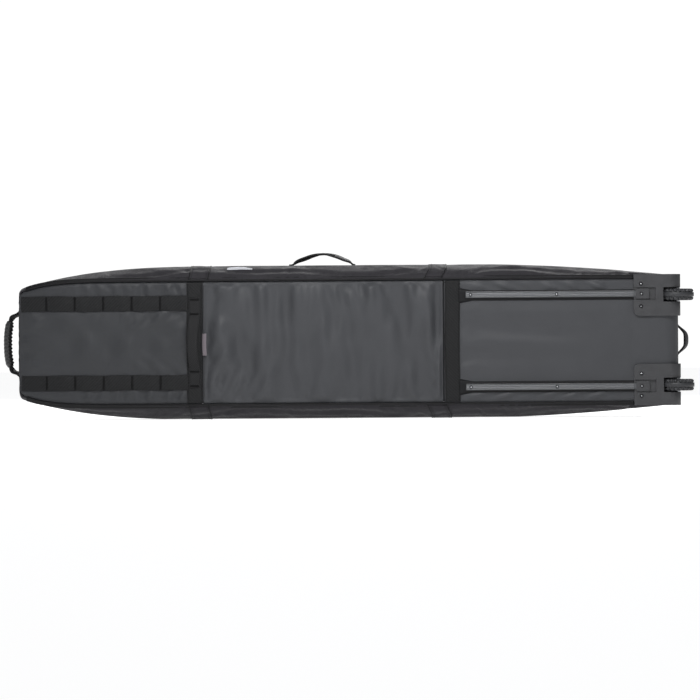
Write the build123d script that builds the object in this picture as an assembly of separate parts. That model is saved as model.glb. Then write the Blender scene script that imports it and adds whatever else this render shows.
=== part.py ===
from build123d import *
import math
import os

# A wheeled bag for one snowboard, standing on its long edge.
# +X runs from the nose end to the wheel end, -Y is the wheeled base, +Z is the carry-handle side.

# ---- bag body ----
nose_x = -828.0              # outer face of the nose end
tail_x = 823.0               # outer face of the wheel end
half_height = 192.0          # half of the widest part, so the bag rests on z = 0
flat_start_x = -275.0        # the side is straight between these two stations
flat_end_x = 325.0
nose_drop = 55.0             # how much narrower each side is at the nose corner
tail_drop = 31.0             # and at the wheel end
nose_corner = 16.0           # run of the nose corner along x
nose_corner_drop = 20.0
base_y = -108.0              # outer face of the base fabric
back_y = 100.0               # outer face of the lid side border
base_half_height = 157.0     # half width of the flat base between its piping
base_nose_drop = 28.0
base_tail_drop = 4.0         # and narrows slightly under the wheel housings
base_tail_taper = 8.0
base_nose_taper = 9.0        # the base keeps its width until close to the nose
base_tail_inset = 22.0       # the base stops this far short of the wheel end
nose_shares = (0.8, 0.59, 0.3)      # where the tapering side is measured, from the straight to the end
tail_shares = (0.25, 0.55, 0.79)
nose_taper = 3.2             # the side curves in with this power of the share
tail_taper = 1.7
back_inset = 12.0            # the lid-side edge stands in from the widest part
full_low_y = base_y + 58.0  # the gusset is widest between these two depths
full_high_y = back_y - 40.0
round_y = base_y + 20.0  # depth of the shoulder between base and gusset
round_share = 0.6            # share of the bulge reached at the shoulder
round_tail_share = 0.8       # share of the wheel end's roll-over reached there
wall = 5.0                   # padded gusset fabric
end_split = 14.0             # end panels are this much longer than the nose corner

# ---- layers of the base ----
fabric = 2.0
board = 5.0
lining = 1.5
nose_panel_end_x = -369.0
middle_panel_end_x = 234.0
seam_gap = 0.5

# ---- piping, webbing ----
piping_w = 5.0
piping_h = 3.0
webbing = 38.0
webbing_t = 2.0
narrow_webbing = 25.0
strap_t = 2.4
daisy_offset = base_half_height - 58.0  # centre of each lengthwise webbing from the centre line
daisy_start_x = nose_x + 6.0
daisy_tack_start_x = nose_x + 67.0
daisy_pitch = 71.0
daisy_tacks = 5
tack_w = 6.0
tack_h = 1.0
nose_cross_x = nose_panel_end_x - webbing / 2 - 1.0
wheel_cross_x = middle_panel_end_x + webbing / 2 + 3.0

# ---- tag in the seam and patches on the gusset ----
tag_w = 10.0
tag_t = 1.0
tag_below = 32.0
tag_above = 23.0
patch_t = 1.2
patch_l = 50.0
patch_xs = (nose_cross_x + 19.0, wheel_cross_x - 30.0)
patch_low_y = base_y + 6.0
patch_high_y = base_y + 48.0  # ---- carry loop lying on the base ----
loop_half_span = 62.0        # half of the loose stretch
loop_sewn = 46.0             # sewn length at each end
loop_rise = 12.0
loop_pivot = 3.0             # the loop flexes about a line this far off the webbing

# ---- lid ----
lid_inset = 38.0             # lid edge to the lid-side edge of the bag
lid_hinge_half = half_height - back_inset - 40.0  # hinge line from the centre line
lid_nose_x = nose_x + 46.0
lid_tail_x = tail_x - 45.0
lid_corner = 80.0            # roundness of the opening's corners
crown_half = lid_hinge_half - 32.0
crown_nose_x = lid_nose_x + 20.0
crown_tail_x = lid_tail_x - 14.0
crown_corner = 52.0
corner_tighten = 0.5         # how fast the corners sharpen as the crown pulls in
lid_crown = 21.0
lid_slope_run = 46.0
lid_wall = 3.0
flange_t = 2.6
border_t = 3.0
tape_w = 12.0
tape_t = 1.6
lid_gap = 0.4

# ---- zip sliders ----
slider_l = 14.0
slider_w = 10.0
slider_h = 5.0
slider_a_x = -30.0
slider_b_x = 20.0
pull_l = 26.0
pull_w = 8.0
pull_t = 2.0
pull_pin_r = 1.1
pull_fit = 0.08              # radial play of the pull on its pin

# ---- wheels ----
wheel_x = tail_x - 2.0
wheel_y = base_y + 20.0
wheel_r = 41.0
wheel_w = 29.0
hub_r = 27.0
axle_r = 3.0
axle_fit = 0.05              # radial running clearance
bearing_r = 9.5
bearing_w = 6.0
washer_r = 6.0
washer_t = 1.5
washer_gap = 0.4
axle_head_r = 5.5
axle_head_t = 4.0

# ---- wheel housings ----
housing_start_x = tail_x - 113.0
housing_end_x = tail_x + 5.0
housing_half = 52.0
housing_offset = base_half_height + 7.0 - housing_half
housing_face = 6.0           # thickness of the plate over the base
housing_wall = 3.5
housing_corner = 14.0
housing_round = 26.0         # the housing rolls over the wheel end at this radius
side_lip_y = base_y + 26.0  # how deep the side wall wraps round the gusset
end_lip_y = base_y + 72.0
wheel_offset = housing_offset + 1.0   # wheel plane from the centre line
well_half = 18.0             # half width of the wheel slot
well_wall = 8.0              # cheeks beside the wheel that hold the axle
well_start_x = housing_start_x + 65.0
slot_start_x = well_start_x + 9.0  # where the slot opens in the face
well_floor_y = base_y + 68.0
recess_len = 55.0            # open recess for the end of the rail
recess_half = 16.0
recess_depth = 2.5
slot_depth = 5.2             # deeper slot past the end of the rail

# ---- skid rails ----
rail_offset = housing_offset + 3.5
rail_start_x = wheel_cross_x + 34.0
rail_end_x = housing_start_x + 35.0
rail_w = 16.0
rail_h = 8.0
rail_rib = 2.0
rivet_r = 4.0
rivet_h = 1.6
rivet_xs = (rail_start_x + 12.0, rail_start_x + 227.0)
clamp_x = rail_end_x - 13.5
clamp_l = 33.0
clamp_h = 4.5
clamp_w = 24.0
clamp_screw_x = clamp_x - 2.5
screw_r = 4.5
screw_h = 1.6
screw_x = housing_start_x + 18.0
screw_spread = 28.0          # screws above and below the housing's centre
backing_w = 74.0             # plates inside that the housing screws grip
backing_t = 3.0
backing_gap = 2.0

# ---- handles ----
side_handle_x = -68.0
side_handle_half = 66.0
side_handle_rise = 29.0
side_handle_w = 25.0
side_handle_t = 5.0
side_handle_pivot = 10.0     # height of the swing axis over the gusset
side_foot_l = 34.0
nose_handle_half = 80.0
nose_handle_reach = 44.0     # from the nose end to the outside of the grip
nose_grip_half = 59.0
nose_grip_t = 21.0
nose_grip_w = 34.0
nose_strap_w = 25.0
nose_strap_t = 4.0
nose_handle_pivot = 11.0
tail_loop_half = 38.0
tail_loop_rise = 26.0
tail_loop_w = 25.0
tail_loop_pivot = 6.5

post_half = 2.2              # half width of the posts under the straps' ends
post_clear = 0.3

# ---- inner straps ----
inner_strap_xs = (-430.0, 330.0)
inner_strap_t = 1.6
inner_buckle_l = 62.0
inner_buckle_h = 9.0

mid_z = half_height
lower, upper = -1, 1


def box(x0, x1, y0, y1, z0, z1):
    """A block between two corners."""
    centre = Pos((x0 + x1) / 2, (y0 + y1) / 2, (z0 + z1) / 2)
    return centre * Box(x1 - x0, y1 - y0, z1 - z0)


def band(x0, x1, y0, y1, side, z0, z1):
    """A block on the upper or lower side of the centre line, z counted from that line."""
    ends = sorted((mid_z + side * z0, mid_z + side * z1))
    return box(x0, x1, y0, y1, ends[0], ends[1])


def rod(x, y, z0, z1, radius):
    """A round bar along z."""
    return Pos(x, y, (z0 + z1) / 2) * Cylinder(radius, abs(z1 - z0))


def stud(x, y0, y1, z, radius):
    """A round bar along y."""
    return Pos(x, (y0 + y1) / 2, z) * Rot(90, 0, 0) * Cylinder(radius, y1 - y0)


def half_at(x, bulge):
    """Half width at station x, from the base's edge at bulge 0 to the widest part at bulge 1."""
    to_nose = max(0.0, (flat_start_x - x) / (flat_start_x - nose_x))
    to_tail = max(0.0, (x - flat_end_x) / (tail_x - flat_end_x))
    base = base_half_height - base_nose_drop * to_nose**base_nose_taper
    base -= base_tail_drop * to_tail**base_tail_taper
    full = half_height - nose_drop * to_nose**nose_taper - tail_drop * to_tail**tail_taper
    return base + bulge * (full - base)


def outline(y, bulge, inset=0.0, tail_inset=0.0):
    """Closed outline of the bag at depth y, pulled in by inset all round."""
    corner_x = nose_x + nose_corner
    end_x = tail_x - tail_inset
    nose_xs = [corner_x] + [flat_start_x + t * (nose_x - flat_start_x) for t in nose_shares] + [flat_start_x]
    tail_xs = [flat_end_x] + [flat_end_x + t * (tail_x - flat_end_x) for t in tail_shares] + [end_x]

    def side_edges(side):
        def point(x):
            shift = inset if x < 0 else -inset
            at = x + shift if x in (corner_x, end_x) else x
            return (at, mid_z + side * (half_at(x, bulge) - inset))

        nose_points = [point(x) for x in nose_xs]
        tail_points = [point(x) for x in tail_xs]
        corner_half = half_at(corner_x, bulge) - nose_corner_drop - inset
        tip = (nose_x + inset, mid_z + side * corner_half)
        edges = [
            Line(tip, nose_points[0]),
            Spline(nose_points),
            Line(nose_points[-1], tail_points[0]),
            Spline(tail_points),
        ]
        return edges, tip, tail_points[-1]

    top, top_tip, top_end = side_edges(upper)
    bottom, bottom_tip, bottom_end = side_edges(lower)
    loop = top + bottom + [Line(top_tip, bottom_tip), Line(top_end, bottom_end)]
    face = make_face(Wire(loop))
    return Pos(0, y, 0) * (Rot(90, 0, 0) * face)


def slab(y0, y1, bulge, inset=0.0, tail_inset=0.0):
    """The bag's outline as a flat slab between two depths."""
    face = outline(y0, bulge, inset, tail_inset)
    return extrude(face, amount=y1 - y0, dir=(0, 1, 0))


def base_slab(y0, y1, inset=0.0):
    return slab(y0, y1, 0.0, inset, base_tail_inset)


def back_slab(y0, y1, inset=0.0):
    return slab(y0, y1, 1.0, back_inset + inset)


def body_loft(inset):
    """The gusset's outer or inner form, from the base to the lid side."""
    sections = [
        outline(base_y, 0.0, inset, base_tail_inset),
        outline(round_y, round_share, inset, base_tail_inset * (1 - round_tail_share)),
        outline(full_low_y, 1.0, inset),
        outline(full_high_y, 1.0, inset),
        outline(back_y, 1.0, inset + back_inset),
    ]
    return loft(sections, ruled=True)


def well_block(side, grow=0.0):
    """The space the moulded wheel well takes out of the bag."""
    half = well_half + well_wall + grow
    near = wheel_offset - half
    far = wheel_offset + half
    start = well_start_x - housing_wall - grow
    floor = well_floor_y + housing_wall + grow
    return band(start, housing_end_x + 40, base_y - 40, floor, side, near, far)


parts = {}


def add(name, *solids):
    """Keep one named sub-part as a group of one or more solids."""
    found = []
    for shape in solids:
        found += list(shape.solids())
    parts[name] = Compound(children=found) if len(found) > 1 else found[0]


# ---- fabric shell ----
def make_shell():
    ring = body_loft(0.0) - body_loft(wall)
    for side in (lower, upper):
        ring -= well_block(side)
        wall_z = housing_offset + housing_half - housing_wall
        ring -= band(housing_start_x, housing_end_x, base_y - 20, side_lip_y, side, wall_z, wall_z + 60)
    nose_cut = nose_x + nose_corner + end_split
    tail_cut = tail_x - base_tail_inset - end_split
    far = 400.0
    nose_zone = box(nose_x - 50, nose_cut, -far, far, -far, 2 * far)
    tail_zone = box(tail_cut, tail_x + 50, -far, far, -far, 2 * far)
    sides = ring - nose_zone - tail_zone
    add("nose_end_panel", ring & nose_zone)
    add("tail_end_panel", ring & tail_zone)
    add("upper_side_panel", sides & box(nose_x - 72, tail_x + 77, -far, far, mid_z, 2 * far))
    add("lower_side_panel", sides & box(nose_x - 72, tail_x + 77, -far, far, -far, mid_z))


def base_layer(y0, y1, x0, x1, inset=wall):
    """One layer of the base between two stations, clear of the wheel wells."""
    layer = base_slab(y0, y1, inset) & box(x0, x1, y0 - 1, y1 + 1, -50, 500)
    for side in (lower, upper):
        layer -= well_block(side)
    return layer


def make_base():
    top = base_y + fabric
    add("base_nose_panel", base_layer(base_y, top, nose_x - 72, nose_panel_end_x))
    middle_start = nose_panel_end_x + seam_gap
    add("base_middle_panel", base_layer(base_y, top, middle_start, middle_panel_end_x))
    wheel_start = middle_panel_end_x + seam_gap
    add("base_wheel_end_panel", base_layer(base_y, top, wheel_start, tail_x + 77))
    add("base_foam", base_layer(top, top + board, nose_x - 72, middle_panel_end_x))
    add("base_board", base_layer(top, top + board, wheel_start, tail_x + 77))
    add("base_lining", base_layer(top + board, top + board + lining, nose_x - 72, tail_x + 77))


def make_piping():
    ring = base_slab(base_y - piping_h, base_y, -1.0) - base_slab(base_y - 9, base_y + 9, piping_w)
    ring = ring & box(nose_x + nose_corner, housing_start_x, -200, 0, -50, 500)
    add("base_piping_upper", ring & box(nose_x - 72, tail_x + 77, -200, 0, mid_z, 500))
    add("base_piping_lower", ring & box(nose_x - 72, tail_x + 77, -200, 0, -50, mid_z))
    back = back_slab(back_y, back_y + piping_h) - back_slab(back_y - 9, back_y + 9, piping_w)
    add("lid_side_piping", back)


# ---- webbing on the base ----
def make_webbing():
    low = base_y - webbing_t
    cross_start = nose_cross_x - webbing / 2
    for side, name in ((upper, "upper"), (lower, "lower")):
        z0 = daisy_offset - webbing / 2
        strap = band(daisy_start_x, cross_start, low, base_y, side, z0, z0 + webbing)
        add("nose_webbing_" + name, strap & base_slab(low - 1, base_y, 1.0))
    tacks = []
    for side in (lower, upper):
        for i in range(daisy_tacks):
            x = daisy_tack_start_x + i * daisy_pitch
            z0 = daisy_offset - webbing / 2 + 1
            tacks.append(band(x, x + tack_w, low - tack_h, low, side, z0, z0 + webbing - 2))
    add("webbing_bar_tacks", *tacks)
    cross_half = base_half_height - piping_w
    for x, name in ((nose_cross_x, "nose"), (wheel_cross_x, "wheel")):
        strap = box(x - webbing / 2, x + webbing / 2, low, base_y, mid_z - cross_half, mid_z + cross_half)
        add("cross_webbing_" + name, strap & base_slab(low - 1, base_y + 1, piping_w))


def arch_face(half, rise, thickness, lift=0.0):
    """A low strap arch in its own plane: u along the span, v outwards."""
    outer = [(-half, lift), (-half * 0.62, rise * 0.86), (0, rise), (half * 0.62, rise * 0.86), (half, lift)]
    inner_half = half - thickness
    inner_rise = rise - thickness
    inner = [
        (inner_half, lift),
        (inner_half * 0.6, inner_rise * 0.84),
        (0, inner_rise),
        (-inner_half * 0.6, inner_rise * 0.84),
        (-inner_half, lift),
    ]
    loop = [Spline(outer), Line(outer[-1], inner[0]), Spline(inner), Line(inner[-1], outer[0])]
    return make_face(Wire(loop))


def wedge_post(height, length):
    """A post that ends in a ridge just under a strap's swing axis, clear of the strap as it tilts."""
    ridge = height - post_clear
    shoulder = ridge - post_half
    profile = [(-post_half, 0), (post_half, 0), (post_half, shoulder), (0, ridge), (-post_half, shoulder)]
    return extrude(make_face(Polyline(*profile, close=True)), amount=length)


def make_base_loop():
    ground = base_y - webbing_t
    sewn_from = loop_half_span + 4
    ends = []
    for side in (lower, upper):
        x0 = nose_cross_x - narrow_webbing / 2
        x1 = x0 + narrow_webbing
        ends.append(band(x0, x1, ground - strap_t, ground, side, sewn_from, sewn_from + loop_sewn))
    add("base_loop_sewn_ends", *ends)
    arch = arch_face(loop_half_span, loop_rise, strap_t)
    strap = extrude(arch, amount=narrow_webbing / 2, both=True)
    place = Plane(origin=(nose_cross_x, ground - loop_pivot, mid_z), x_dir=(0, 0, 1), z_dir=(1, 0, 0))
    add("base_carry_loop", place * strap)


def make_trim():
    x0 = nose_panel_end_x + seam_gap
    tag_y = base_y - tag_t
    add("seam_tag", box(x0, x0 + tag_w, tag_y, base_y, mid_z - tag_below, mid_z + tag_above))
    skin = body_loft(-patch_t) - body_loft(0.0)
    patches = []
    for side in (lower, upper):
        for x in patch_xs:
            window = band(x - patch_l / 2, x + patch_l / 2, patch_low_y, patch_high_y, side, 0, 400)
            patches.append(skin & window)
    add("side_patches", *patches)


# ---- lid and zip ----
def round_panel(y, x0, x1, half, radius):
    """A flat panel with four round corners, centred on the bag's centre line."""
    face = Pos((x0 + x1) / 2, mid_z) * RectangleRounded(x1 - x0, 2 * half, radius)
    return Pos(0, y, 0) * (Rot(90, 0, 0) * face)


def lid_slab(y0, y1, grow):
    """The lid's outline, grown all round, as a slab that stops at the hinge line."""
    tapered = back_slab(y0, y1, lid_inset - grow)
    face = round_panel(y0, lid_nose_x - grow, lid_tail_x + grow, half_height + 8.0, lid_corner + grow)
    corners = extrude(face, amount=y1 - y0, dir=(0, 1, 0))
    below_hinge = box(nose_x - 72, tail_x + 77, y0 - 1, y1 + 1, -50, mid_z + lid_hinge_half)
    return tapered & corners & below_hinge


def crown(y0, y1, inset):
    """The padded middle of the lid: level with the rim at y0, flat on top at y1."""
    def level(y, shift):
        total = inset + shift
        radius = crown_corner - total * corner_tighten
        return round_panel(y, crown_nose_x + total, crown_tail_x - total, crown_half - total, radius)

    return loft([level(y0, 0.0), level(y1, lid_slope_run)], ruled=True)


def make_lid():
    tape_y = back_y - tape_t
    rim_y = tape_y + flange_t
    opening = lid_slab(back_y - 20, back_y + 20, 2 * tape_w)
    add("lid_side_border", back_slab(back_y - border_t, back_y, wall) - opening)
    chain_out = lid_slab(tape_y - 5, back_y + 5, tape_w + lid_gap / 2)
    chain_in = lid_slab(tape_y, back_y, tape_w - lid_gap / 2)
    below = box(nose_x - 72, tail_x + 77, 0, 200, -50, mid_z + lid_hinge_half - lid_gap)
    add("zip_tape_fixed", (lid_slab(tape_y, back_y, 2 * tape_w) - chain_out) & below)
    add("zip_tape_lid", (chain_in - lid_slab(tape_y - 5, back_y + 5, 0.0)) & below)
    top = tape_y + lid_crown
    rim = lid_slab(tape_y, rim_y, 0.0) & below
    outer = crown(rim_y, top, 0.0)
    inner = crown(rim_y, top - lid_wall, lid_wall)
    window = extrude(round_panel(tape_y - 5, crown_nose_x + lid_wall, crown_tail_x - lid_wall,
                                 crown_half - lid_wall, crown_corner - lid_wall * corner_tighten),
                     amount=20, dir=(0, 1, 0))
    add("lid_panel", (rim - window) + (outer - inner))
    add("lid_foam", inner)
    chain_z = mid_z - (half_height - back_inset - lid_inset + tape_w)
    for x, name in ((slider_a_x, "a"), (slider_b_x, "b")):
        make_slider(x, chain_z, name)


def make_slider(x, chain_z, name):
    """A slider riding on the closed chain, with a bridge that carries the hanging pull."""
    y0 = back_y + 0.3
    half = slider_l / 2
    body = box(x - half, x + half, y0, y0 + slider_h - 2.5, chain_z - slider_w / 2, chain_z + slider_w / 2)
    pin_y = y0 + slider_h - 2.5 + 2.6
    pin_z = chain_z
    cheek = pull_w / 2 + 0.4
    for sign in (-1, 1):
        x_in = x + sign * cheek
        x_out = x + sign * (cheek + 1.6)
        lo, hi = sorted((x_in, x_out))
        body += box(lo, hi, y0 + 1, pin_y + 1.8, pin_z - 3, pin_z + 3)
    pin = Pos(x, pin_y, pin_z) * Rot(0, 90, 0) * Cylinder(pull_pin_r, 2 * cheek + 2)
    add("zip_slider_" + name, body + pin)
    pull = box(x - pull_w / 2, x + pull_w / 2, pin_y - pull_t / 2, pin_y + pull_t / 2, pin_z - pull_l, pin_z)
    eye = Pos(x, pin_y, pin_z) * Rot(0, 90, 0) * Cylinder(pull_pin_r + 1.3, pull_w)
    hole = Pos(x, pin_y, pin_z) * Rot(0, 90, 0) * Cylinder(pull_pin_r + pull_fit, pull_w + 2)
    add("zip_pull_" + name, pull + eye - hole)


# ---- wheels and housings ----
def long_edge(block, x, y):
    """The edge of a block along z at a given x and y."""
    return [e for e in block.edges().filter_by(Axis.Z) if abs(e.center().X - x) + abs(e.center().Y - y) < 0.01]


def make_housing(side, name):
    z0 = housing_offset - housing_half
    z1 = housing_offset + housing_half
    top_y = base_y - housing_face
    block = band(housing_start_x, housing_end_x, top_y, end_lip_y, side, z0, z1)
    block = fillet(long_edge(block, housing_end_x, top_y), housing_round)
    inside = band(housing_start_x - 5, housing_end_x - housing_wall, base_y, 0, side, z0 - 5, z1 - housing_wall)
    inside = fillet(long_edge(inside, housing_end_x - housing_wall, base_y), housing_round - housing_face)
    shell = block - inside
    trim = band(housing_start_x - 5, housing_end_x - housing_wall, side_lip_y, 0, side, z1 - 12, z1 + 5)
    shell -= trim
    w0 = wheel_offset - well_half - well_wall
    w1 = wheel_offset + well_half + well_wall
    well = band(well_start_x - housing_wall, housing_end_x, top_y, well_floor_y + housing_wall, side, w0, w1)
    well = fillet(long_edge(well, housing_end_x, top_y), housing_round)
    shell += well
    slot0 = wheel_offset - well_half
    slot1 = wheel_offset + well_half
    shell -= band(well_start_x, housing_end_x + 50, base_y, well_floor_y, side, slot0, slot1)
    shell -= band(slot_start_x, housing_end_x + 50, top_y - 20, base_y + 1, side, slot0, slot1)
    r0 = rail_offset - recess_half
    r1 = rail_offset + recess_half
    shell -= band(housing_start_x - 5, housing_start_x + recess_len, top_y - 5, top_y + recess_depth, side, r0, r1)
    slot_from = clamp_x + clamp_l / 2
    shell -= band(slot_from, housing_start_x + recess_len, top_y - 5, top_y + slot_depth, side, r0, r1)
    rail0 = rail_offset - rail_w / 2 - 0.3
    rail1 = rail_offset + rail_w / 2 + 0.3
    shell -= band(housing_start_x - 5, rail_end_x + 0.5, top_y - 5, base_y + 1, side, rail0, rail1)
    axle_z = mid_z + side * wheel_offset
    reach = well_half + well_wall
    shell -= rod(wheel_x, wheel_y, axle_z - reach, axle_z + reach, axle_r)
    for sign in (-1, 1):
        ends = sorted((axle_z + sign * (reach - axle_head_t), axle_z + sign * reach))
        shell -= rod(wheel_x, wheel_y, ends[0], ends[1], axle_head_r)
    corners = [e for e in shell.edges().filter_by(Axis.Y) if abs(e.center().X - housing_start_x) < 0.01]
    outer = [e for e in corners if abs(abs(e.center().Z - mid_z) - z0) < 0.01]
    if outer:
        shell = fillet(outer, housing_corner)
    add("wheel_housing_" + name, shell)


def make_wheel(side, name):
    z = mid_z + side * wheel_offset
    half = wheel_w / 2
    hub_solid = rod(wheel_x, wheel_y, z - half + 1, z + half - 1, hub_r)
    tyre = rod(wheel_x, wheel_y, z - half, z + half, wheel_r)
    tyre = chamfer(tyre.edges().filter_by(GeomType.CIRCLE), 3.0)
    tyre -= rod(wheel_x, wheel_y, z - half - 1, z + half + 1, hub_r)
    seat = half - 1 - bearing_w
    hub_bore = rod(wheel_x, wheel_y, z - seat, z + seat, axle_r + 3.0)
    pockets = []
    bearings = []
    for sign in (-1, 1):
        ends = sorted((z + sign * seat, z + sign * (half - 1)))
        pockets.append(rod(wheel_x, wheel_y, ends[0], ends[1], bearing_r))
        ring = rod(wheel_x, wheel_y, ends[0], ends[1], bearing_r)
        bearings.append(ring - rod(wheel_x, wheel_y, ends[0] - 1, ends[1] + 1, axle_r + axle_fit))
    hub = hub_solid - hub_bore - pockets[0] - pockets[1]
    spacer = rod(wheel_x, wheel_y, z - seat, z + seat, axle_r + 1.5)
    spacer -= rod(wheel_x, wheel_y, z - seat - 1, z + seat + 1, axle_r + axle_fit)
    add("wheel_" + name + "_tyre", tyre)
    add("wheel_" + name + "_hub", hub)
    add("wheel_" + name + "_bearings", *bearings)
    add("wheel_" + name + "_spacer", spacer)
    slot_wall = well_half + well_wall - axle_head_t
    axle = rod(wheel_x, wheel_y, z - slot_wall, z + slot_wall + axle_head_t - 1, axle_r)
    head = rod(wheel_x, wheel_y, z - slot_wall - axle_head_t, z - slot_wall, axle_head_r)
    add("wheel_" + name + "_axle", axle + head)
    nut = rod(wheel_x, wheel_y, z + slot_wall, z + slot_wall + axle_head_t, axle_head_r)
    nut -= rod(wheel_x, wheel_y, z, z + slot_wall + 20, axle_r)
    washers = []
    for sign in (-1, 1):
        ends = sorted((z + sign * (half - 1 + washer_gap), z + sign * well_half))
        ring = rod(wheel_x, wheel_y, ends[0], ends[1], washer_r)
        washers.append(ring - rod(wheel_x, wheel_y, ends[0] - 1, ends[1] + 1, axle_r))
    return nut, washers


def make_wheels():
    nuts = []
    washers = []
    for side, name in ((upper, "upper"), (lower, "lower")):
        make_housing(side, name)
        nut, pair = make_wheel(side, name)
        nuts.append(nut)
        washers += pair
    add("wheel_axle_nuts", *nuts)
    add("wheel_side_washers", *washers)


def make_rails():
    screws = []
    rivets = []
    clamps = []
    backs = []
    top_y = base_y - housing_face
    for side, name in ((upper, "upper"), (lower, "lower")):
        z0 = rail_offset - rail_w / 2
        z1 = rail_offset + rail_w / 2
        rail = band(rail_start_x, rail_end_x, base_y - rail_h, base_y, side, z0, z1)
        for k in (-1, 0, 1):
            mid = rail_offset + k * rail_w / 4
            groove = band(rail_start_x - 1, rail_end_x + 1, base_y - rail_h, base_y - rail_h + 1, side,
                          mid - rail_rib / 2, mid + rail_rib / 2)
            rail -= groove
        flat = band(housing_start_x, rail_end_x + 1, base_y - rail_h - 1, top_y + recess_depth, side, z0 - 1, z1 + 1)
        rail -= flat
        add("skid_rail_" + name, rail)
        z = mid_z + side * rail_offset
        for x in rivet_xs:
            head = base_y - rail_h - rivet_h
            rivets.append(stud(x, head, base_y - rail_h + 1, z, rivet_r) - rail)
        clamp_y = top_y + recess_depth
        clamps.append(band(clamp_x - clamp_l / 2, clamp_x + clamp_l / 2, clamp_y - clamp_h, clamp_y, side,
                           rail_offset - clamp_w / 2, rail_offset + clamp_w / 2))
        rivets.append(stud(clamp_screw_x, clamp_y - clamp_h - rivet_h, clamp_y - clamp_h, z, rivet_r))
        inner_y = base_y + fabric + board + lining
        for sign in (-1, 1):
            zs = mid_z + side * (housing_offset + sign * screw_spread)
            screws.append(stud(screw_x, top_y - screw_h, top_y, zs, screw_r))
        far = base_half_height - base_tail_drop - wall - backing_gap
        backs.append(band(housing_start_x, well_start_x - housing_wall - backing_gap, inner_y, inner_y + backing_t,
                          side, far - backing_w, far))
    add("rail_rivets", *rivets)
    add("rail_clamp_plates", *clamps)
    add("housing_screws", *screws)
    add("housing_backing_plates", *backs)


# ---- handles ----
def make_side_handle():
    ground = 2 * half_height
    pivot_z = ground + side_handle_pivot
    face = arch_face(side_handle_half, side_handle_rise - side_handle_pivot, side_handle_t)
    strap = extrude(face, amount=side_handle_w / 2, both=True)
    place = Plane(origin=(side_handle_x, 0, pivot_z), x_dir=(1, 0, 0), z_dir=(0, -1, 0))
    add("side_handle_strap", place * strap)
    feet = []
    for sign in (-1, 1):
        x_out = side_handle_x + sign * (side_handle_half + 14)
        x_in = side_handle_x + sign * (side_handle_half + 14 - side_foot_l)
        lo, hi = sorted((x_in, x_out))
        foot = box(lo, hi, -side_handle_w / 2, side_handle_w / 2, ground, ground + 2)
        post = sorted((x_out - sign * 14, x_out - sign * (14 + side_handle_t)))
        post_place = Plane(origin=(post[0], 0, ground + 1), x_dir=(0, 1, 0), z_dir=(1, 0, 0))
        foot += post_place * wedge_post(side_handle_pivot - 1, side_handle_t)
        feet.append(foot)
    add("side_handle_feet", *feet)


def make_nose_handle():
    ground = nose_x
    pivot_x = ground - nose_handle_pivot
    reach = nose_handle_reach - nose_handle_pivot
    face = arch_face(nose_handle_half, reach - 7, nose_strap_t)
    strap = extrude(face, amount=nose_strap_w / 2, both=True)
    place = Plane(origin=(pivot_x, 0, mid_z), x_dir=(0, 0, 1), z_dir=(0, -1, 0))
    strap = place * strap
    grip = box(ground - nose_handle_reach, ground - nose_handle_reach + nose_grip_t, -nose_grip_w / 2,
               nose_grip_w / 2, mid_z - nose_grip_half, mid_z + nose_grip_half)
    grip = fillet(grip.edges().filter_by(Axis.Z), 7.0)
    add("nose_handle_strap", strap)
    add("nose_handle_grip", grip - strap)
    feet = []
    for sign in (-1, 1):
        z_out = mid_z + sign * (nose_handle_half + 22)
        z_in = mid_z + sign * (nose_handle_half - 8)
        lo, hi = sorted((z_in, z_out))
        foot = box(ground - 2, ground, -nose_strap_w / 2, nose_strap_w / 2, lo, hi)
        z_post = sorted((mid_z + sign * nose_handle_half, mid_z + sign * (nose_handle_half - nose_strap_t)))
        post_place = Plane(origin=(ground - 1, 0, z_post[0]), x_dir=(0, 1, 0), z_dir=(0, 0, 1))
        foot += post_place * wedge_post(nose_handle_pivot - 1, nose_strap_t)
        feet.append(foot)
    add("nose_handle_feet", *feet)


def make_tail_loop():
    ground = tail_x
    pivot_x = ground + tail_loop_pivot
    face = arch_face(tail_loop_half, tail_loop_rise - tail_loop_pivot, strap_t)
    strap = extrude(face, amount=tail_loop_w / 2, both=True)
    place = Plane(origin=(pivot_x, 0, mid_z), x_dir=(0, 0, 1), z_dir=(0, 1, 0))
    add("tail_loop", place * strap)
    feet = []
    for sign in (-1, 1):
        z_out = mid_z + sign * (tail_loop_half + 16)
        z_in = mid_z + sign * (tail_loop_half - 6)
        lo, hi = sorted((z_in, z_out))
        foot = box(ground, ground + 1.6, -tail_loop_w / 2, tail_loop_w / 2, lo, hi)
        z_post = sorted((mid_z + sign * tail_loop_half, mid_z + sign * (tail_loop_half - strap_t)))
        post_place = Plane(origin=(ground + 1, 0, z_post[0]), x_dir=(0, -1, 0), z_dir=(0, 0, 1))
        foot += post_place * wedge_post(tail_loop_pivot - 1, strap_t)
        feet.append(foot)
    add("tail_loop_feet", *feet)


# ---- inside ----
def make_inner_straps():
    y0 = base_y + fabric + board + lining
    half = base_half_height - wall - 6
    straps = []
    buckles = []
    for x in inner_strap_xs:
        y1 = y0 + inner_strap_t
        straps.append(box(x - webbing / 2, x + webbing / 2, y0, y1, mid_z - half, mid_z + half))
        buckle = box(x - 24, x + 24, y1, y1 + inner_buckle_h, mid_z - inner_buckle_l / 2, mid_z + inner_buckle_l / 2)
        buckles.append(fillet(buckle.edges().filter_by(Axis.Y), 8.0))
    add("inner_straps", *straps)
    add("inner_buckles", *buckles)


os.makedirs("parts", exist_ok=True)
make_shell()
make_base()
make_piping()
make_webbing()
make_base_loop()
make_trim()
make_lid()
make_wheels()
make_rails()
make_side_handle()
make_nose_handle()
make_tail_loop()
make_inner_straps()
for name, shape in parts.items():
    export_step(shape, os.path.join("parts", name + ".step"))
print(len(parts), "sub-parts written")
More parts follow.
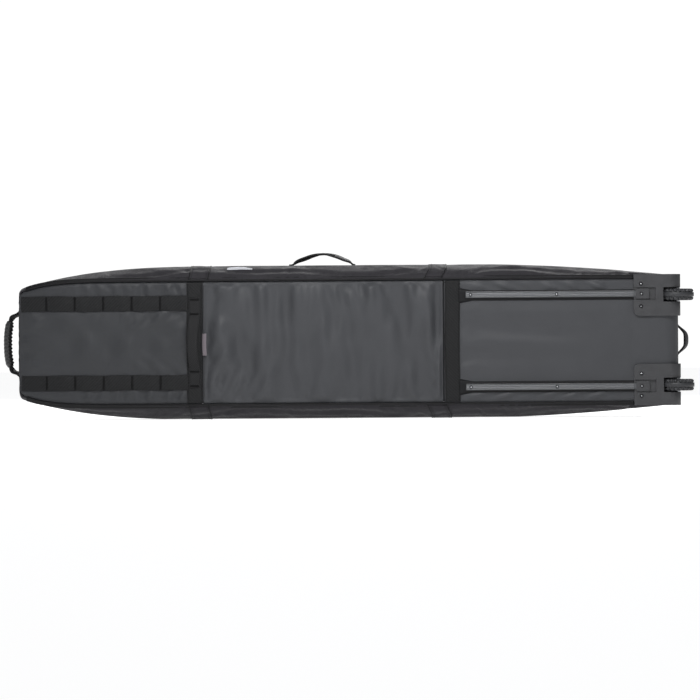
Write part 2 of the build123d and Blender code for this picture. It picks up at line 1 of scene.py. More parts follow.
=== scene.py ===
import math
import bmesh
import bpy
import numpy as np
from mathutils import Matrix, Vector


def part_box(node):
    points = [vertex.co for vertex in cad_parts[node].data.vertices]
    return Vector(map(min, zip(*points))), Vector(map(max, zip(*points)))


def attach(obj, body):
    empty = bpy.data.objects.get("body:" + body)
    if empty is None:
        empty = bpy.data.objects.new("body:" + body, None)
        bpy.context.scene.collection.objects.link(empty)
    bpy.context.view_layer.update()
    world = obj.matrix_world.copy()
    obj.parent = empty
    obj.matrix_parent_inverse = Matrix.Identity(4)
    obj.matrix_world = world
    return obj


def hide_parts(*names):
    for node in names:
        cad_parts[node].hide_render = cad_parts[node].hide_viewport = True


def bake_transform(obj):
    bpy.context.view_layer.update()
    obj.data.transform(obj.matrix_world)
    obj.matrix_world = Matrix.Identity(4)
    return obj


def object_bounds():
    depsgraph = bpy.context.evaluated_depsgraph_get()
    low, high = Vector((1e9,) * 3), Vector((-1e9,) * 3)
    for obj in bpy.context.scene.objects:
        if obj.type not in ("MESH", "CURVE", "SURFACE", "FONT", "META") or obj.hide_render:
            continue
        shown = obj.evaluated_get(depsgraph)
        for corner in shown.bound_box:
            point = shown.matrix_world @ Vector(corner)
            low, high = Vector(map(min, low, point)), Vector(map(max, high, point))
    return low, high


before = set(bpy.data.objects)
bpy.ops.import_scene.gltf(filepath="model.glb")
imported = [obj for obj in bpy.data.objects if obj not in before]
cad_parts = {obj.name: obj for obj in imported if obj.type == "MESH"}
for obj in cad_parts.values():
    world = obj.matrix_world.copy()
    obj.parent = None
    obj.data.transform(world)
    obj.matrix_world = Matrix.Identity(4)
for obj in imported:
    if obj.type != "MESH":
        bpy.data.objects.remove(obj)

# A wheeled snowboard bag standing on its long edge. The base faces -Y, the wheels are at +X.
cad_box = [list(corner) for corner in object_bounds()]

# ---- camera ----
view_width = 1.75            # metres across the frame at the base of the bag
view_x = 0.0
view_z = 0.1715
lens = 250.0
sensor = 36.0
roll_deg = 0.4

# ---- light ----
floor_glow = 0.72            # how bright the floor looks, and how much of it lights the bag
floor_fill = 0.58
world_fill = 0.30
key_power = 56
right_power = 0.2
left_power = 4
back_power = 110

# ---- places read from the frame, in metres ----
base_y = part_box("base_middle_panel")[0].y
back_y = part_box("lid_side_border")[1].y
top_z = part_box("upper_side_panel")[1].z
mid_z = top_z / 2
full_half = top_z / 2
base_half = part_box("base_piping_upper")[1].z - mid_z - 0.001
nose_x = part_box("nose_end_panel")[0].x
tail_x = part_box("tail_end_panel")[1].x
rail_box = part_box("skid_rail_upper")
housing_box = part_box("wheel_housing_upper")
lid_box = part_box("lid_panel")
hinge_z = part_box("zip_tape_lid")[1].z

# ---- form of the soft shell ----
flat_start_x = -0.275
flat_end_x = 0.325
base_nose_drop = 0.028
base_nose_taper = 9.0
base_tail_drop = 0.004
base_tail_taper = 8.0
nose_drop = 0.055
tail_drop = 0.031
nose_taper = 3.2
tail_taper = 1.7
base_tail_inset = 0.022
back_inset = 0.012
nose_round = 0.014           # plan radius of the nose corners
tail_round = 0.020
nose_roll_start = -0.665     # the base curves away from here to the nose
nose_roll_depth = 0.020
tail_roll_start = 0.789      # and rolls over at the wheel end
tail_roll_radius = 0.034
cell = 0.0052                # mesh size of the simulated fabric
facing_out = 0.0038          # the dark facing lies this far outside the bound edge
stitch_in = 0.0055           # and a row of stitches this far inside it
narrow_webbing = 0.025       # straps of the handles and loops
stitch_pitch = 0.0042
stitch_length = 0.0031
thread_r = 0.0004
tack_length = 0.0045
tack_r = 0.0005
tack_across = np.arange(-0.0110, 0.0112, 0.0009)    # threads of one bar tack over a 25 mm strap
loop_twist = 0.42            # radians by which the worn loops have turned on edge
strap_twist = 0.45
side_swell = 0.0008          # the most the soft sides stand out past their outline

webbing = 0.038
webbing_t = 0.0022
tape_cloth_t = 0.0010
panel_cloth_t = 0.0016
gusset_t = 0.0035
border_t = 0.0022
daisy_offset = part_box("nose_webbing_upper")[0].z + webbing / 2 - mid_z
nose_seam_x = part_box("base_nose_panel")[1].x
wheel_seam_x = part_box("base_middle_panel")[1].x
nose_cross_x = sum(c.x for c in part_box("cross_webbing_nose")) / 2
wheel_cross_x = sum(c.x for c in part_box("cross_webbing_wheel")) / 2
rail_offset = (rail_box[0].z + rail_box[1].z) / 2 - mid_z
wheel_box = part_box("wheel_upper_tyre")
wheel_r = (wheel_box[1].x - wheel_box[0].x) / 2
wheel_offset = (wheel_box[0].z + wheel_box[1].z) / 2 - mid_z
well_half = 0.026            # half width of the moulded well, cheeks included
deepest_dent = 0.0042        # the padding behind the base stops any dent here
deepest_over_board = 0.0014  # and the stiff board stops it sooner
relief_gain = 3.0            # how strongly the sewn-in creases stand out
random = np.random.RandomState(11)


def make_camera():
    """The photo's view: square on to the base, from far away."""
    data = bpy.data.cameras.new("camera")
    data.lens = lens
    data.sensor_width = sensor
    data.clip_end = 100
    cam = bpy.data.objects.new("camera", data)
    bpy.context.scene.collection.objects.link(cam)
    distance = view_width * lens / sensor
    cam.location = (view_x, base_y - distance, view_z)
    cam.rotation_euler = (math.radians(90), math.radians(roll_deg), 0)
    bpy.context.scene.camera = cam


# ---- materials ----
class Shader:
    """A small helper that builds one node material."""

    def __init__(self, name, color, rough, spec=0.3, metal=0.0, sheen=0.0):
        self.mat = bpy.data.materials.new(name)
        self.mat.use_nodes = True
        self.tree = self.mat.node_tree
        self.bsdf = self.tree.nodes["Principled BSDF"]
        self.bsdf.inputs["Base Color"].default_value = (*color, 1)
        self.bsdf.inputs["Roughness"].default_value = rough
        self.bsdf.inputs["Metallic"].default_value = metal
        self.bsdf.inputs["Specular IOR Level"].default_value = spec
        if sheen:
            self.bsdf.inputs["Sheen Weight"].default_value = sheen
            self.bsdf.inputs["Sheen Roughness"].default_value = 0.4
        self.color = color
        self.rough = rough

    def node(self, kind, **values):
        made = self.tree.nodes.new(kind)
        for key, value in values.items():
            setattr(made, key, value)
        return made

    def link(self, a, b):
        self.tree.links.new(a, b)

    def math(self, operation, a, b=0.0):
        made = self.node("ShaderNodeMath", operation=operation)
        for socket, value in zip(made.inputs, (a, b)):
            if isinstance(value, (int, float)):
                socket.default_value = value
            else:
                self.link(value, socket)
        return made.outputs[0]

    def uv(self):
        split = self.node("ShaderNodeSeparateXYZ")
        self.link(self.node("ShaderNodeUVMap").outputs[0], split.inputs[0])
        return split.outputs[0], split.outputs[1]

    def place(self, source="Object", stretch=(1, 1, 1)):
        coordinates = self.node("ShaderNodeTexCoord")
        mapping = self.node("ShaderNodeMapping")
        mapping.inputs["Scale"].default_value = stretch
        self.link(coordinates.outputs[source], mapping.inputs[0])
        return mapping.outputs[0]

    def noise(self, scale, detail=3.0, source="Object", stretch=(1, 1, 1)):
        made = self.node("ShaderNodeTexNoise")
        made.inputs["Scale"].default_value = scale
        made.inputs["Detail"].default_value = detail
        self.link(self.place(source, stretch), made.inputs["Vector"])
        return made.outputs["Fac"]

    def wave(self, value, pitch):
        """A sine from 0 to 1 that repeats every pitch of value."""
        turned = self.math("MULTIPLY", value, 2 * math.pi / pitch)
        return self.math("MULTIPLY_ADD", self.math("SINE", turned), 0.5)

    def tint(self, factor, low, high):
        """Colour that runs from low to high times the base colour."""
        ramp = self.node("ShaderNodeMapRange")
        self.link(factor, ramp.inputs["Value"])
        ramp.inputs["From Min"].default_value = 0.25
        ramp.inputs["From Max"].default_value = 0.75
        mixed = self.node("ShaderNodeMix", data_type="RGBA")
        self.link(ramp.outputs[0], mixed.inputs["Factor"])
        mixed.inputs["A"].default_value = (*(c * low for c in self.color), 1)
        mixed.inputs["B"].default_value = (*(c * high for c in self.color), 1)
        self.link(mixed.outputs["Result"], self.bsdf.inputs["Base Color"])

    def roughen(self, factor, spread):
        low = self.rough - spread / 2
        self.link(self.math("MULTIPLY_ADD", factor, spread), self.bsdf.inputs["Roughness"])
        node = self.bsdf.inputs["Roughness"].links[0].from_node
        node.inputs[2].default_value = low

    def bump(self, *layers):
        """Stack height layers, each a (height, depth in metres, strength)."""
        normal = None
        for height, depth, strength in layers:
            made = self.node("ShaderNodeBump")
            made.inputs["Distance"].default_value = depth
            made.inputs["Strength"].default_value = strength
            self.link(height, made.inputs["Height"])
            if normal is not None:
                self.link(normal, made.inputs["Normal"])
            normal = made.outputs[0]
        self.link(normal, self.bsdf.inputs["Normal"])


def woven(name, color, rough, thread, spec=0.3, sheen=0.0, grain=0.00012, mottle=(0.86, 1.14)):
    """Plain-weave cloth: crossing threads, slubs and slow colour change."""
    s = Shader(name, color, rough, spec, 0.0, sheen)
    u, v = s.uv()
    warp = s.wave(u, thread)
    weft = s.wave(v, thread)
    cross = s.math("MULTIPLY", warp, weft)
    slub = s.noise(900.0, 2.0, "UV", (0.12, 1, 1))
    slow = s.noise(22.0, 4.0)
    mix = s.math("ADD", s.math("MULTIPLY", slow, 0.65), s.math("MULTIPLY", slub, 0.35))
    s.tint(mix, *mottle)
    s.roughen(slow, 0.10)
    s.bump((slow, 0.0010, 0.25), (cross, grain, 0.7), (slub, grain, 0.35))
    return s.mat


def twill(name, color, rough, slope=1.0, pitch=0.0034, spec=0.25):
    """Webbing: diagonal ribs over fine lengthwise yarns."""
    s = Shader(name, color, rough, spec, 0.0, 0.05)
    u, v = s.uv()
    diagonal = s.math("ADD", u, s.math("MULTIPLY", v, slope))
    rib = s.wave(diagonal, pitch)
    broad = s.wave(diagonal, pitch * 2.4)
    yarn = s.wave(v, 0.0011)
    wear = s.noise(60.0, 4.0)
    mix = s.math("ADD", s.math("MULTIPLY", rib, 0.25), s.math("MULTIPLY", broad, 0.50))
    s.tint(s.math("ADD", mix, s.math("MULTIPLY", wear, 0.25)), 0.45, 1.8)
    s.roughen(wear, 0.15)
    s.bump((broad, 0.0004, 0.5), (rib, 0.0004, 0.8), (yarn, 0.0002, 0.6))
    return s.mat


def moulded(name, color, rough, spec=0.4, grain=900.0, scuff=0.12, streak=(1, 1, 1), metal=0.0):
    """Moulded plastic or rubber: fine spark texture, soft scuffs, uneven gloss."""
    s = Shader(name, color, rough, spec, metal)
    fine = s.noise(grain, 2.0)
    broad = s.noise(45.0, 5.0, "Object", streak)
    s.tint(broad, 1.0 - scuff, 1.0 + scuff)
    s.roughen(broad, 0.18)
    s.bump((broad, 0.0003, 0.3), (fine, 0.00012, 0.5))
    return s.mat


def rail_painted_highlight(name, color, rough, edge):
    """A rail's plastic: a painted highlight along its middle and painted shade towards both edges, over
    real lengthwise streaks.
    """
    s = Shader(name, color, rough, 0.45)
    split = s.node("ShaderNodeSeparateXYZ")
    s.link(s.place(), split.inputs[0])
    off = s.math("ABSOLUTE", s.math("SUBTRACT", split.outputs[2], mid_z))
    away = s.math("ABSOLUTE", s.math("SUBTRACT", off, rail_offset))
    # Painted highlight and shade: palest on the rail's centre line and darker towards its edges, as light
    # falls on the raised bar.
    share = s.math("SUBTRACT", 1.30, s.math("DIVIDE", away, edge))
    streaks = s.noise(900.0, 5.0, "Object", (0.03, 1, 1))
    mix = s.math("ADD", s.math("MULTIPLY", share, 0.7), s.math("MULTIPLY", streaks, 0.3))
    s.tint(mix, 0.35, 1.35)
    s.roughen(streaks, 0.2)
    s.bump((streaks, 0.0002, 0.4), (s.noise(1000.0, 2.0), 0.0001, 0.4))
    return s.mat


def make_materials():
    """Every material of the bag, by a short name."""
    m = {}
    fine = (0.52, 0.0007, 0.26, 0.0, 0.00008, (0.93, 1.07))
    m["satin"] = woven("coated_satin", (0.0400, 0.0415, 0.0455), *fine)
    # A darker copy of the satin for the nose panel: painted shade where the nose panel turns away from the
    # light.
    m["nose_satin_painted_shade"] = woven("nose_satin_painted_shade", (0.0268, 0.0280, 0.0310), *fine)
    coarse = (0.68, 0.0010, 0.20, 0.1, 0.0002, (0.88, 1.12))
    m["gusset"] = woven("woven_polyester", (0.0170, 0.0160, 0.0190), *coarse)
    m["lining"] = woven("grey_lining", (0.16, 0.165, 0.175), 0.6, 0.0011, 0.25, 0.2)
    m["webbing"] = twill("twill_webbing", (0.0046, 0.0048, 0.0054), 0.62)
    m["strap"] = twill("strap_webbing", (0.0070, 0.0070, 0.0078), 0.6, -1.0, 0.0024)
    m["piping"] = woven("bound_edge", (0.0050, 0.0050, 0.0058), 0.6, 0.0009, 0.2)
    m["tape"] = woven("zip_tape", (0.010, 0.010, 0.011), 0.65, 0.0008, 0.2)
    m["thread"] = woven("sewing_thread", (0.0032, 0.0032, 0.0036), 0.6, 0.0005, 0.15)
    m["light_thread"] = woven("grey_thread", (0.030, 0.030, 0.033), 0.5, 0.0005, 0.3)
    m["tag"] = woven("seam_tag_cloth", (0.135, 0.118, 0.130), 0.6, 0.0006, 0.2)
    m["pale"] = woven("pale_strip_cloth", (0.42, 0.43, 0.46), 0.6, 0.0006, 0.2, 0.0, 0.0001, (0.9, 1.05))
    m["housing"] = moulded("housing_plastic", (0.036, 0.0365, 0.0390), 0.44, 0.35, 1100.0)
    # The rail's colour carries a painted highlight along its middle and painted shade at its edges.
    m["rail"] = rail_painted_highlight("rail_plastic_painted_highlight", (0.066, 0.069, 0.074), 0.36, 0.0080)
    m["tyre"] = moulded("tyre_rubber", (0.0260, 0.0268, 0.0295), 0.52, 0.35, 700.0, 0.25)
    m["hub"] = moulded("hub_plastic", (0.045, 0.046, 0.050), 0.4, 0.4)
    m["grip"] = moulded("grip_rubber", (0.026, 0.026, 0.027), 0.45, 0.4, 800.0)
    m["buckle"] = moulded("buckle_plastic", (0.014, 0.014, 0.015), 0.35, 0.45)
    m["board"] = moulded("stiff_board", (0.05, 0.05, 0.055), 0.6, 0.25)
    m["steel"] = moulded("brushed_steel", (0.50, 0.51, 0.53), 0.3, 0.5, 1500.0, 0.12, (1, 1, 6), 1.0)
    m["dark_metal"] = moulded("blackened_metal", (0.018, 0.018, 0.020), 0.32, 0.5, 1300.0, 0.2, metal=0.8)
    m["teeth"] = moulded("coil_nylon", (0.012, 0.012, 0.013), 0.35, 0.45)
    return m


# ---- mesh helpers ----
def finish_mesh(mesh, material, body, replaced=()):
    """A piece of the visual model: its look, the body it rides and what it replaces."""
    for each in material if isinstance(material, (list, tuple)) else [material]:
        mesh.materials.append(each)
    obj = bpy.data.objects.new(mesh.name, mesh)
    bpy.context.scene.collection.objects.link(obj)
    mesh.polygons.foreach_set("use_smooth", [True] * len(mesh.polygons))
    if body:
        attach(obj, body)
    if replaced:
        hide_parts(*replaced)
    return obj


def grid_mesh(name, points, closed=False, outward=None, keep=None):
    """A mesh from a grid of points, with UVs in metres. keep picks the cells that stay."""
    nu, nv = points.shape[:2]
    flat = points.reshape(-1, 3)
    iu = np.arange(nu if closed else nu - 1)
    jv = np.arange(nv - 1)
    a, b = np.meshgrid(iu, jv, indexing="ij")
    c = (a + 1) % nu
    quads = np.stack([a * nv + b, c * nv + b, c * nv + b + 1, a * nv + b + 1], -1).reshape(-1, 4)
    step_u = np.linalg.norm(np.diff(points, axis=0), axis=2).mean(1)
    step_v = np.linalg.norm(np.diff(points, axis=1), axis=2).mean(0)
    along = np.concatenate([[0], np.cumsum(step_u), [step_u.sum() + step_u.mean()]])
    across = np.concatenate([[0], np.cumsum(step_v)])
    ua, vb = along[a.ravel()], across[b.ravel()]
    uc, vd = along[a.ravel() + 1], across[b.ravel() + 1]
    corners = ((ua, vb), (uc, vb), (uc, vd), (ua, vd))
    uvs = np.stack([np.stack(corner, 1) for corner in corners], 1)
    if outward is not None:
        p = flat[quads]
        normals = np.cross(p[:, 1] - p[:, 0], p[:, 3] - p[:, 0])
        if (normals * outward(p.mean(1))).sum() < 0:
            quads, uvs = quads[:, ::-1], uvs[:, ::-1]
    if keep is not None:
        wanted = keep(flat[quads].mean(1))
        quads, uvs = quads[wanted], uvs[wanted]
    return build_mesh(name, flat, quads, uvs)


def build_mesh(name, points, faces, uvs=None):
    """A mesh from points, faces and one UV per face corner."""
    mesh = bpy.data.meshes.new(name)
    mesh.from_pydata(points.tolist(), [], faces.tolist() if hasattr(faces, "tolist") else faces)
    if uvs is not None:
        layer = mesh.uv_layers.new(name="UVMap")
        layer.data.foreach_set("uv", np.asarray(uvs, float).ravel())
    mesh.validate()
    mesh.update()
    return mesh


def unit(v):
    """Vectors scaled to length 1."""
    return v / np.maximum(np.linalg.norm(v, axis=-1, keepdims=True), 1e-12)


def tangents(path, closed=False):
    """The direction of a path at each of its points."""
    if closed:
        return unit(np.roll(path, -1, 0) - np.roll(path, 1, 0))
    return unit(np.gradient(path, axis=0))


def sweep(name, path, side, profile, closed=False):
    """A closed profile carried along a path. side is the direction of the profile's first axis."""
    path = np.asarray(path, float)
    t = tangents(path, closed)
    side = unit(np.broadcast_to(np.asarray(side, float), path.shape).copy())
    side = unit(side - (side * t).sum(1, keepdims=True) * t)
    normal = np.cross(side, t)
    profile = np.asarray(profile, float)
    points = path[:, None] + profile[None, :, :1] * side[:, None] + profile[None, :, 1:2] * normal[:, None]
    n, k = points.shape[:2]
    lengths = np.linalg.norm(np.diff(np.vstack([path, path[:1]]), axis=0), axis=1)
    along = np.concatenate([[0], np.cumsum(lengths)])
    edge = np.linalg.norm(np.roll(profile, -1, 0) - profile, axis=1)
    across = np.concatenate([[0], np.cumsum(edge)])
    faces, uvs = [], []
    for i in range(n if closed else n - 1):
        j = (i + 1) % n
        for a in range(k):
            b = (a + 1) % k
            faces.append((i * k + a, i * k + b, j * k + b, j * k + a))
            uvs += [(along[i], across[a]), (along[i], across[a + 1]),
                    (along[i + 1], across[a + 1]), (along[i + 1], across[a])]
    if not closed:
        for ring, order in ((0, range(k - 1, -1, -1)), (n - 1, range(k))):
            faces.append(tuple(ring * k + a for a in order))
            uvs += [(along[ring], across[a]) for a in order]
    mesh = build_mesh(name, points.reshape(-1, 3), faces, uvs)
    work = bmesh.new()
    work.from_mesh(mesh)
    bmesh.ops.recalc_face_normals(work, faces=work.faces)
    work.to_mesh(mesh)
    work.free()
    return mesh


def circle(radius, count=10):
    """A round section."""
    angles = np.arange(count) * 2 * math.pi / count
    return [(radius * math.cos(a), radius * math.sin(a)) for a in angles]


def flat_profile(width, thickness, bow=0.0):
    """Section of a woven strap: rounded selvedges and a slightly bowed middle."""
    w, t = width / 2, thickness / 2
    half = [(-w, 0), (-w * 0.985, t * 0.7), (-w * 0.93, t), (-w * 0.5, t + bow * 0.7), (0, t + bow),
            (w * 0.5, t + bow * 0.7), (w * 0.93, t), (w * 0.985, t * 0.7), (w, 0)]
    other = [(w * 0.985, -t * 0.7), (w * 0.93, -t), (0, -t), (-w * 0.93, -t), (-w * 0.985, -t * 0.7)]
    return half + other


def resample(path, step, closed=False):
    """The same line, cut into even steps."""
    path = np.asarray(path, float)
    if closed:
        path = np.vstack([path, path[:1]])
    s = np.concatenate([[0], np.cumsum(np.linalg.norm(np.diff(path, axis=0), axis=1))])
    count = max(2, int(round(s[-1] / step)))
    at = np.linspace(0, s[-1], count + 1)
    if closed:
        at = at[:-1]
    return np.stack([np.interp(at, s, path[:, k]) for k in range(path.shape[1])], 1)


def spline(points, count=60):
    """A smooth curve through points, evenly sampled."""
    p = np.asarray(points, float)
    p = np.vstack([2 * p[0] - p[1], p, 2 * p[-1] - p[-2]])
    out = []
    for i in range(1, len(p) - 2):
        t = np.linspace(0, 1, 24, endpoint=False)[:, None]
        a, b, c, d = p[i - 1], p[i], p[i + 1], p[i + 2]
        square = 2 * a - 5 * b + 4 * c - d
        cube = 3 * b - a - 3 * c + d
        out.append(0.5 * (2 * b + (c - a) * t + square * t**2 + cube * t**3))
    out = np.vstack([*out, p[-2:-1]])
    s = np.concatenate([[0], np.cumsum(np.linalg.norm(np.diff(out, axis=0), axis=1))])
    at = np.linspace(0, s[-1], count)
    return np.stack([np.interp(at, s, out[:, k]) for k in range(out.shape[1])], 1)


def stitches(name, centres, along, normals, length, radius, body, material, lift=0.0):
    """Many short thread bridges, each dipping into the cloth at both ends."""
    centres, along, normals = (np.asarray(a, float) for a in (centres, along, normals))
    along = np.broadcast_to(along, centres.shape)
    normals = np.broadcast_to(normals, centres.shape)
    along, normals = unit(along), unit(normals)
    across = np.cross(along, normals)
    rings = np.array([-0.5, -0.3, 0.3, 0.5])
    heights = np.array([-0.6, 0.45, 0.45, -0.6]) * radius + lift
    angles = np.arange(5) * 2 * math.pi / 5
    n = len(centres)
    ring_c = (centres[:, None] + rings[None, :, None] * length * along[:, None]
              + heights[None, :, None] * normals[:, None])
    sideways = np.cos(angles)[None, :, None] * across[:, None]
    upwards = np.sin(angles)[None, :, None] * normals[:, None]
    off = (sideways + upwards) * radius
    points = (ring_c[:, :, None] + off[:, None]).reshape(-1, 3)
    base = []
    for r in range(3):
        for a in range(5):
            b = (a + 1) % 5
            base.append((r * 5 + a, r * 5 + b, (r + 1) * 5 + b, (r + 1) * 5 + a))
    faces = (np.array(base)[None] + (np.arange(n) * 20)[:, None, None]).reshape(-1, 4)
    uv = np.tile(np.array([[0, 0], [0, radius], [length / 3, radius], [length / 3, 0]]), (len(faces), 1, 1))
    mesh = build_mesh(name, points, faces, uv)
    return finish_mesh(mesh, material, body)


def tack_rows(alongs, across, place):
    """Where the threads of the bar tacks at both ends of a strap lie."""
    rows = [sign * along for sign in (-1, 1) for along in alongs]
    return np.array([place(along, reach) for along in rows for reach in across])


def solidify(obj, thickness, inner=False):
    """Give a cloth its thickness, on its inner side, with another material there if inner is set."""
    made = obj.modifiers.new("thickness", "SOLIDIFY")
    made.thickness = thickness
    made.offset = -1
    made.material_offset = 1 if inner else 0
    made.material_offset_rim = 0


def subdivide(obj, levels=1):
    """Smooth a cloth's facets."""
    made = obj.modifiers.new("smooth", "SUBSURF")
    made.levels = levels
    made.render_levels = levels


# ---- the soft shell's outline ----
def base_edge(x):
    """Half width of the flat base at station x."""
    to_nose = np.clip((flat_start_x - np.asarray(x, float)) / (flat_start_x - nose_x), 0, 1.02)
    to_tail = np.clip((np.asarray(x, float) - flat_end_x) / (tail_x - flat_end_x), 0, 1.02)
    return base_half - base_nose_drop * to_nose**base_nose_taper - base_tail_drop * to_tail**base_tail_taper


def full_edge(x):
    """Half width of the bag's widest part at station x."""
    x = np.asarray(x, float)
    to_nose = np.clip((flat_start_x - x) / (flat_start_x - nose_x), 0, 1.02)
    to_tail = np.clip((x - flat_end_x) / (tail_x - flat_end_x), 0, 1.02)
    return full_half - nose_drop * to_nose**nose_taper - tail_drop * to_tail**tail_taper


def nose_roll(x):
    """How far the base has curved back towards the lid at station x."""
    share = np.clip((nose_roll_start - np.asarray(x, float)) / (nose_roll_start - nose_x), 0, 1)
    return nose_roll_depth * share**2.1


def outline(bulge, back, counts):
    """Closed plan outline at one depth, with round corners. bulge runs from base to full width."""
    n_side, n_corner, n_end = counts
    xn = nose_x + back * back_inset
    xt = tail_x - back * back_inset - base_tail_inset * (1 - min(1.0, bulge * 1.3))

    def half(x):
        return base_edge(x) + bulge * (full_edge(x) - base_edge(x)) - back * back_inset

    xs = np.linspace(xn + nose_round, xt - tail_round, n_side)
    side = np.stack([xs, half(xs)], 1)
    turn = np.linspace(90, 0, n_corner + 2)[1:-1] * math.pi / 180
    tail_c = (xt - tail_round, side[-1, 1] - tail_round)
    tail_arc = np.stack([tail_c[0] + tail_round * np.cos(turn), tail_c[1] + tail_round * np.sin(turn)], 1)
    tail_z = np.linspace(tail_c[1], -tail_c[1], n_end)
    tail = np.stack([np.full(n_end, xt), tail_z], 1)
    nose_c = (xn + nose_round, side[0, 1] - nose_round)
    nose_arc = np.stack([nose_c[0] - nose_round * np.cos(turn), nose_c[1] + nose_round * np.sin(turn)], 1)
    nose_z = np.linspace(-nose_c[1], nose_c[1], n_end)
    nose = np.stack([np.full(n_end, xn), nose_z], 1)
    mirror = np.array([1, -1])
    loop = np.vstack([side, tail_arc, tail, tail_arc[::-1] * mirror, side[::-1] * mirror,
                      nose_arc * mirror, nose, nose_arc[::-1]])
    return loop


def shell_grid():
    """The gusset as a grid: around the outline, then from the base to the lid side."""
    depth = base_y - back_y
    stations = [(0.0, 0.0, 0), (0.28, 0.0060, 0), (0.62, 0.020, 0), (0.88, 0.041, 0), (1.0, 0.066, 0),
                (1.02, 0.108, 0), (1.0, 0.158, 0), (1.0, 0.186, 0.3), (1.0, -depth, 1.0)]
    rows = spline([(s[0] * (full_half - base_half), s[1], s[2] * back_inset) for s in stations], 48)
    counts = (int(1.6 / cell), 6, 62)
    grid = []
    for widen, deep, inset in rows:
        bulge = widen / (full_half - base_half)
        loop = outline(bulge, inset / back_inset, counts)
        y = base_y + deep + nose_roll(loop[:, 0]) * np.clip(1 - deep / 0.09, 0, 1)
        turned = np.clip((loop[:, 0] - tail_roll_start) / tail_roll_radius, 0, 1)
        y = np.maximum(y, base_y + tail_roll_radius * (1 - np.sqrt(1 - turned**2)) + 0.0018 * (turned > 0))
        grid.append(np.stack([loop[:, 0], y, mid_z + loop[:, 1]], 1))
    return np.stack(grid, 1)


def in_well(p, spare=0.004):
    """Cells that the moulded wheel wells take out of the fabric."""
    z = np.abs(np.abs(p[:, 2] - mid_z) - wheel_offset)
    return (z < well_half - spare) & (p[:, 0] > 0.775) & (p[:, 1] < -0.040)


def to_base(_):
    """Outwards for anything on the base."""
    return np.array([0, -1.0, 0])


def to_lid(_):
    """Outwards for anything on the lid side."""
    return np.array([0, 1.0, 0])


def from_axis(p):
    """Outwards from the bag's lengthwise axis."""
    out = p.copy()
    out[:, 2] -= mid_z
    out[:, 1] = 0
    return out


def panel_grid(x0, x1, shrink):
    """A base panel between two stations. Past tail_roll_start it rolls over the wheel end."""
    n = int((x1 - x0) / cell) + 1
    s = np.linspace(x0, x1, n)
    m = int(2 * base_half / cell) | 1
    u = np.linspace(-1, 1, m)
    angle = np.clip(s - tail_roll_start, 0, None) / tail_roll_radius
    x = np.where(angle > 0, tail_roll_start + tail_roll_radius * np.sin(angle), s)
    y = base_y + nose_roll(x) + tail_roll_radius * (1 - np.cos(angle))
    short = np.clip(nose_round - (x - nose_x), 0, nose_round)
    corner = nose_round - np.sqrt(nose_round**2 - short**2)
    half = base_edge(x) - shrink - corner
    points = np.zeros((n, m, 3))
    points[:, :, 0] = x[:, None]
    points[:, :, 1] = y[:, None]
    points[:, :, 2] = mid_z + u[None] * half[:, None]
    return points


# ---- cloth ----
def add_cloth(obj, pins, pressure, slack, bend):
    """Pin, stretch and inflate one piece of cloth."""
    group = obj.vertex_groups.new(name="pins")
    for level in np.unique(np.round(pins[pins > 0.01], 1)):
        group.add(np.where(np.abs(pins - level) < 0.051)[0].tolist(), float(level), "REPLACE")
    made = obj.modifiers.new("cloth", "CLOTH")
    s = made.settings
    s.quality = 5
    s.mass = 0.25
    s.air_damping = 2.0
    s.tension_stiffness = 20
    s.compression_stiffness = 20
    s.shear_stiffness = 10
    s.bending_stiffness = bend
    s.tension_damping = 20
    s.compression_damping = 20
    s.vertex_group_mass = "pins"
    s.pin_stiffness = 1.0
    s.shrink_min = -slack
    s.use_pressure = True
    s.uniform_pressure_force = pressure
    s.effector_weights.gravity = 0
    made.collision_settings.use_collision = False
    made.collision_settings.use_self_collision = False


def run_cloth(jobs, steps=22):
    """Simulate every job together, then cap how far each point moved and keep the result."""
    scene = bpy.context.scene
    starts = {}
    for obj, pins, pressure, slack, bend, cap in jobs:
        starts[obj.name] = coordinates(obj.data)
        add_cloth(obj, pins, pressure, slack, bend)
    for step in range(1, steps + 1):
        scene.frame_set(step)
    graph = bpy.context.evaluated_depsgraph_get()
    for obj, pins, pressure, slack, bend, cap in jobs:
        moved = coordinates(obj.evaluated_get(graph).data)
        start = starts[obj.name]
        shift = moved - start
        size = np.linalg.norm(shift, axis=1, keepdims=True)
        shift *= np.tanh(size / cap) * cap / np.maximum(size, 1e-9)
        print("cloth", obj.name, "mean", round(float(size.mean()), 4), "most", round(float(size.max()), 4))
        obj.modifiers.remove(obj.modifiers["cloth"])
        set_coordinates(obj.data, start + shift)
    scene.frame_set(1)


def coordinates(mesh):
    """A mesh's points as an array."""
    co = np.zeros(len(mesh.vertices) * 3)
    mesh.vertices.foreach_get("co", co)
    return co.reshape(-1, 3)


def set_coordinates(mesh, co):
    """Move a mesh's points."""
    mesh.vertices.foreach_set("co", np.ascontiguousarray(co, float).ravel())
    mesh.update()


# ---- soft surfaces ----
def waves(s, pitch, spread, count=5):
    """Uneven waves along s: a few sines near one pitch, with seeded phases."""
    total = np.zeros_like(s)
    for _ in range(count):
        k = 2 * math.pi / (pitch * random.uniform(1 - spread, 1 + spread))
        total += np.sin(s * k + random.uniform(0, 6.28))
    return total / math.sqrt(count)


def field(x, z, pitch_x, pitch_z, count=16):
    """A seeded soft random relief whose folds are about pitch_x by pitch_z across."""
    total = np.zeros(np.broadcast(x, z).shape)
    for _ in range(count):
        kx = 2 * math.pi / pitch_x * random.uniform(0.6, 1.35) * random.choice((-1, 1))
        kz = 2 * math.pi / pitch_z * random.normal(0, 0.7)
        total = total + np.sin(x * kx + z * kz + random.uniform(0, 6.28))
    return total / math.sqrt(count)


def bell(x, centre, width):
    """A smooth hump of height 1 around centre."""
    return np.exp(-(((x - centre) / width) ** 2))


def under(value, centre, half, soft=0.004):
    """1 within half of centre, falling to 0 over soft."""
    return np.clip(1 - (np.abs(value - centre) - half) / soft, 0, 1)


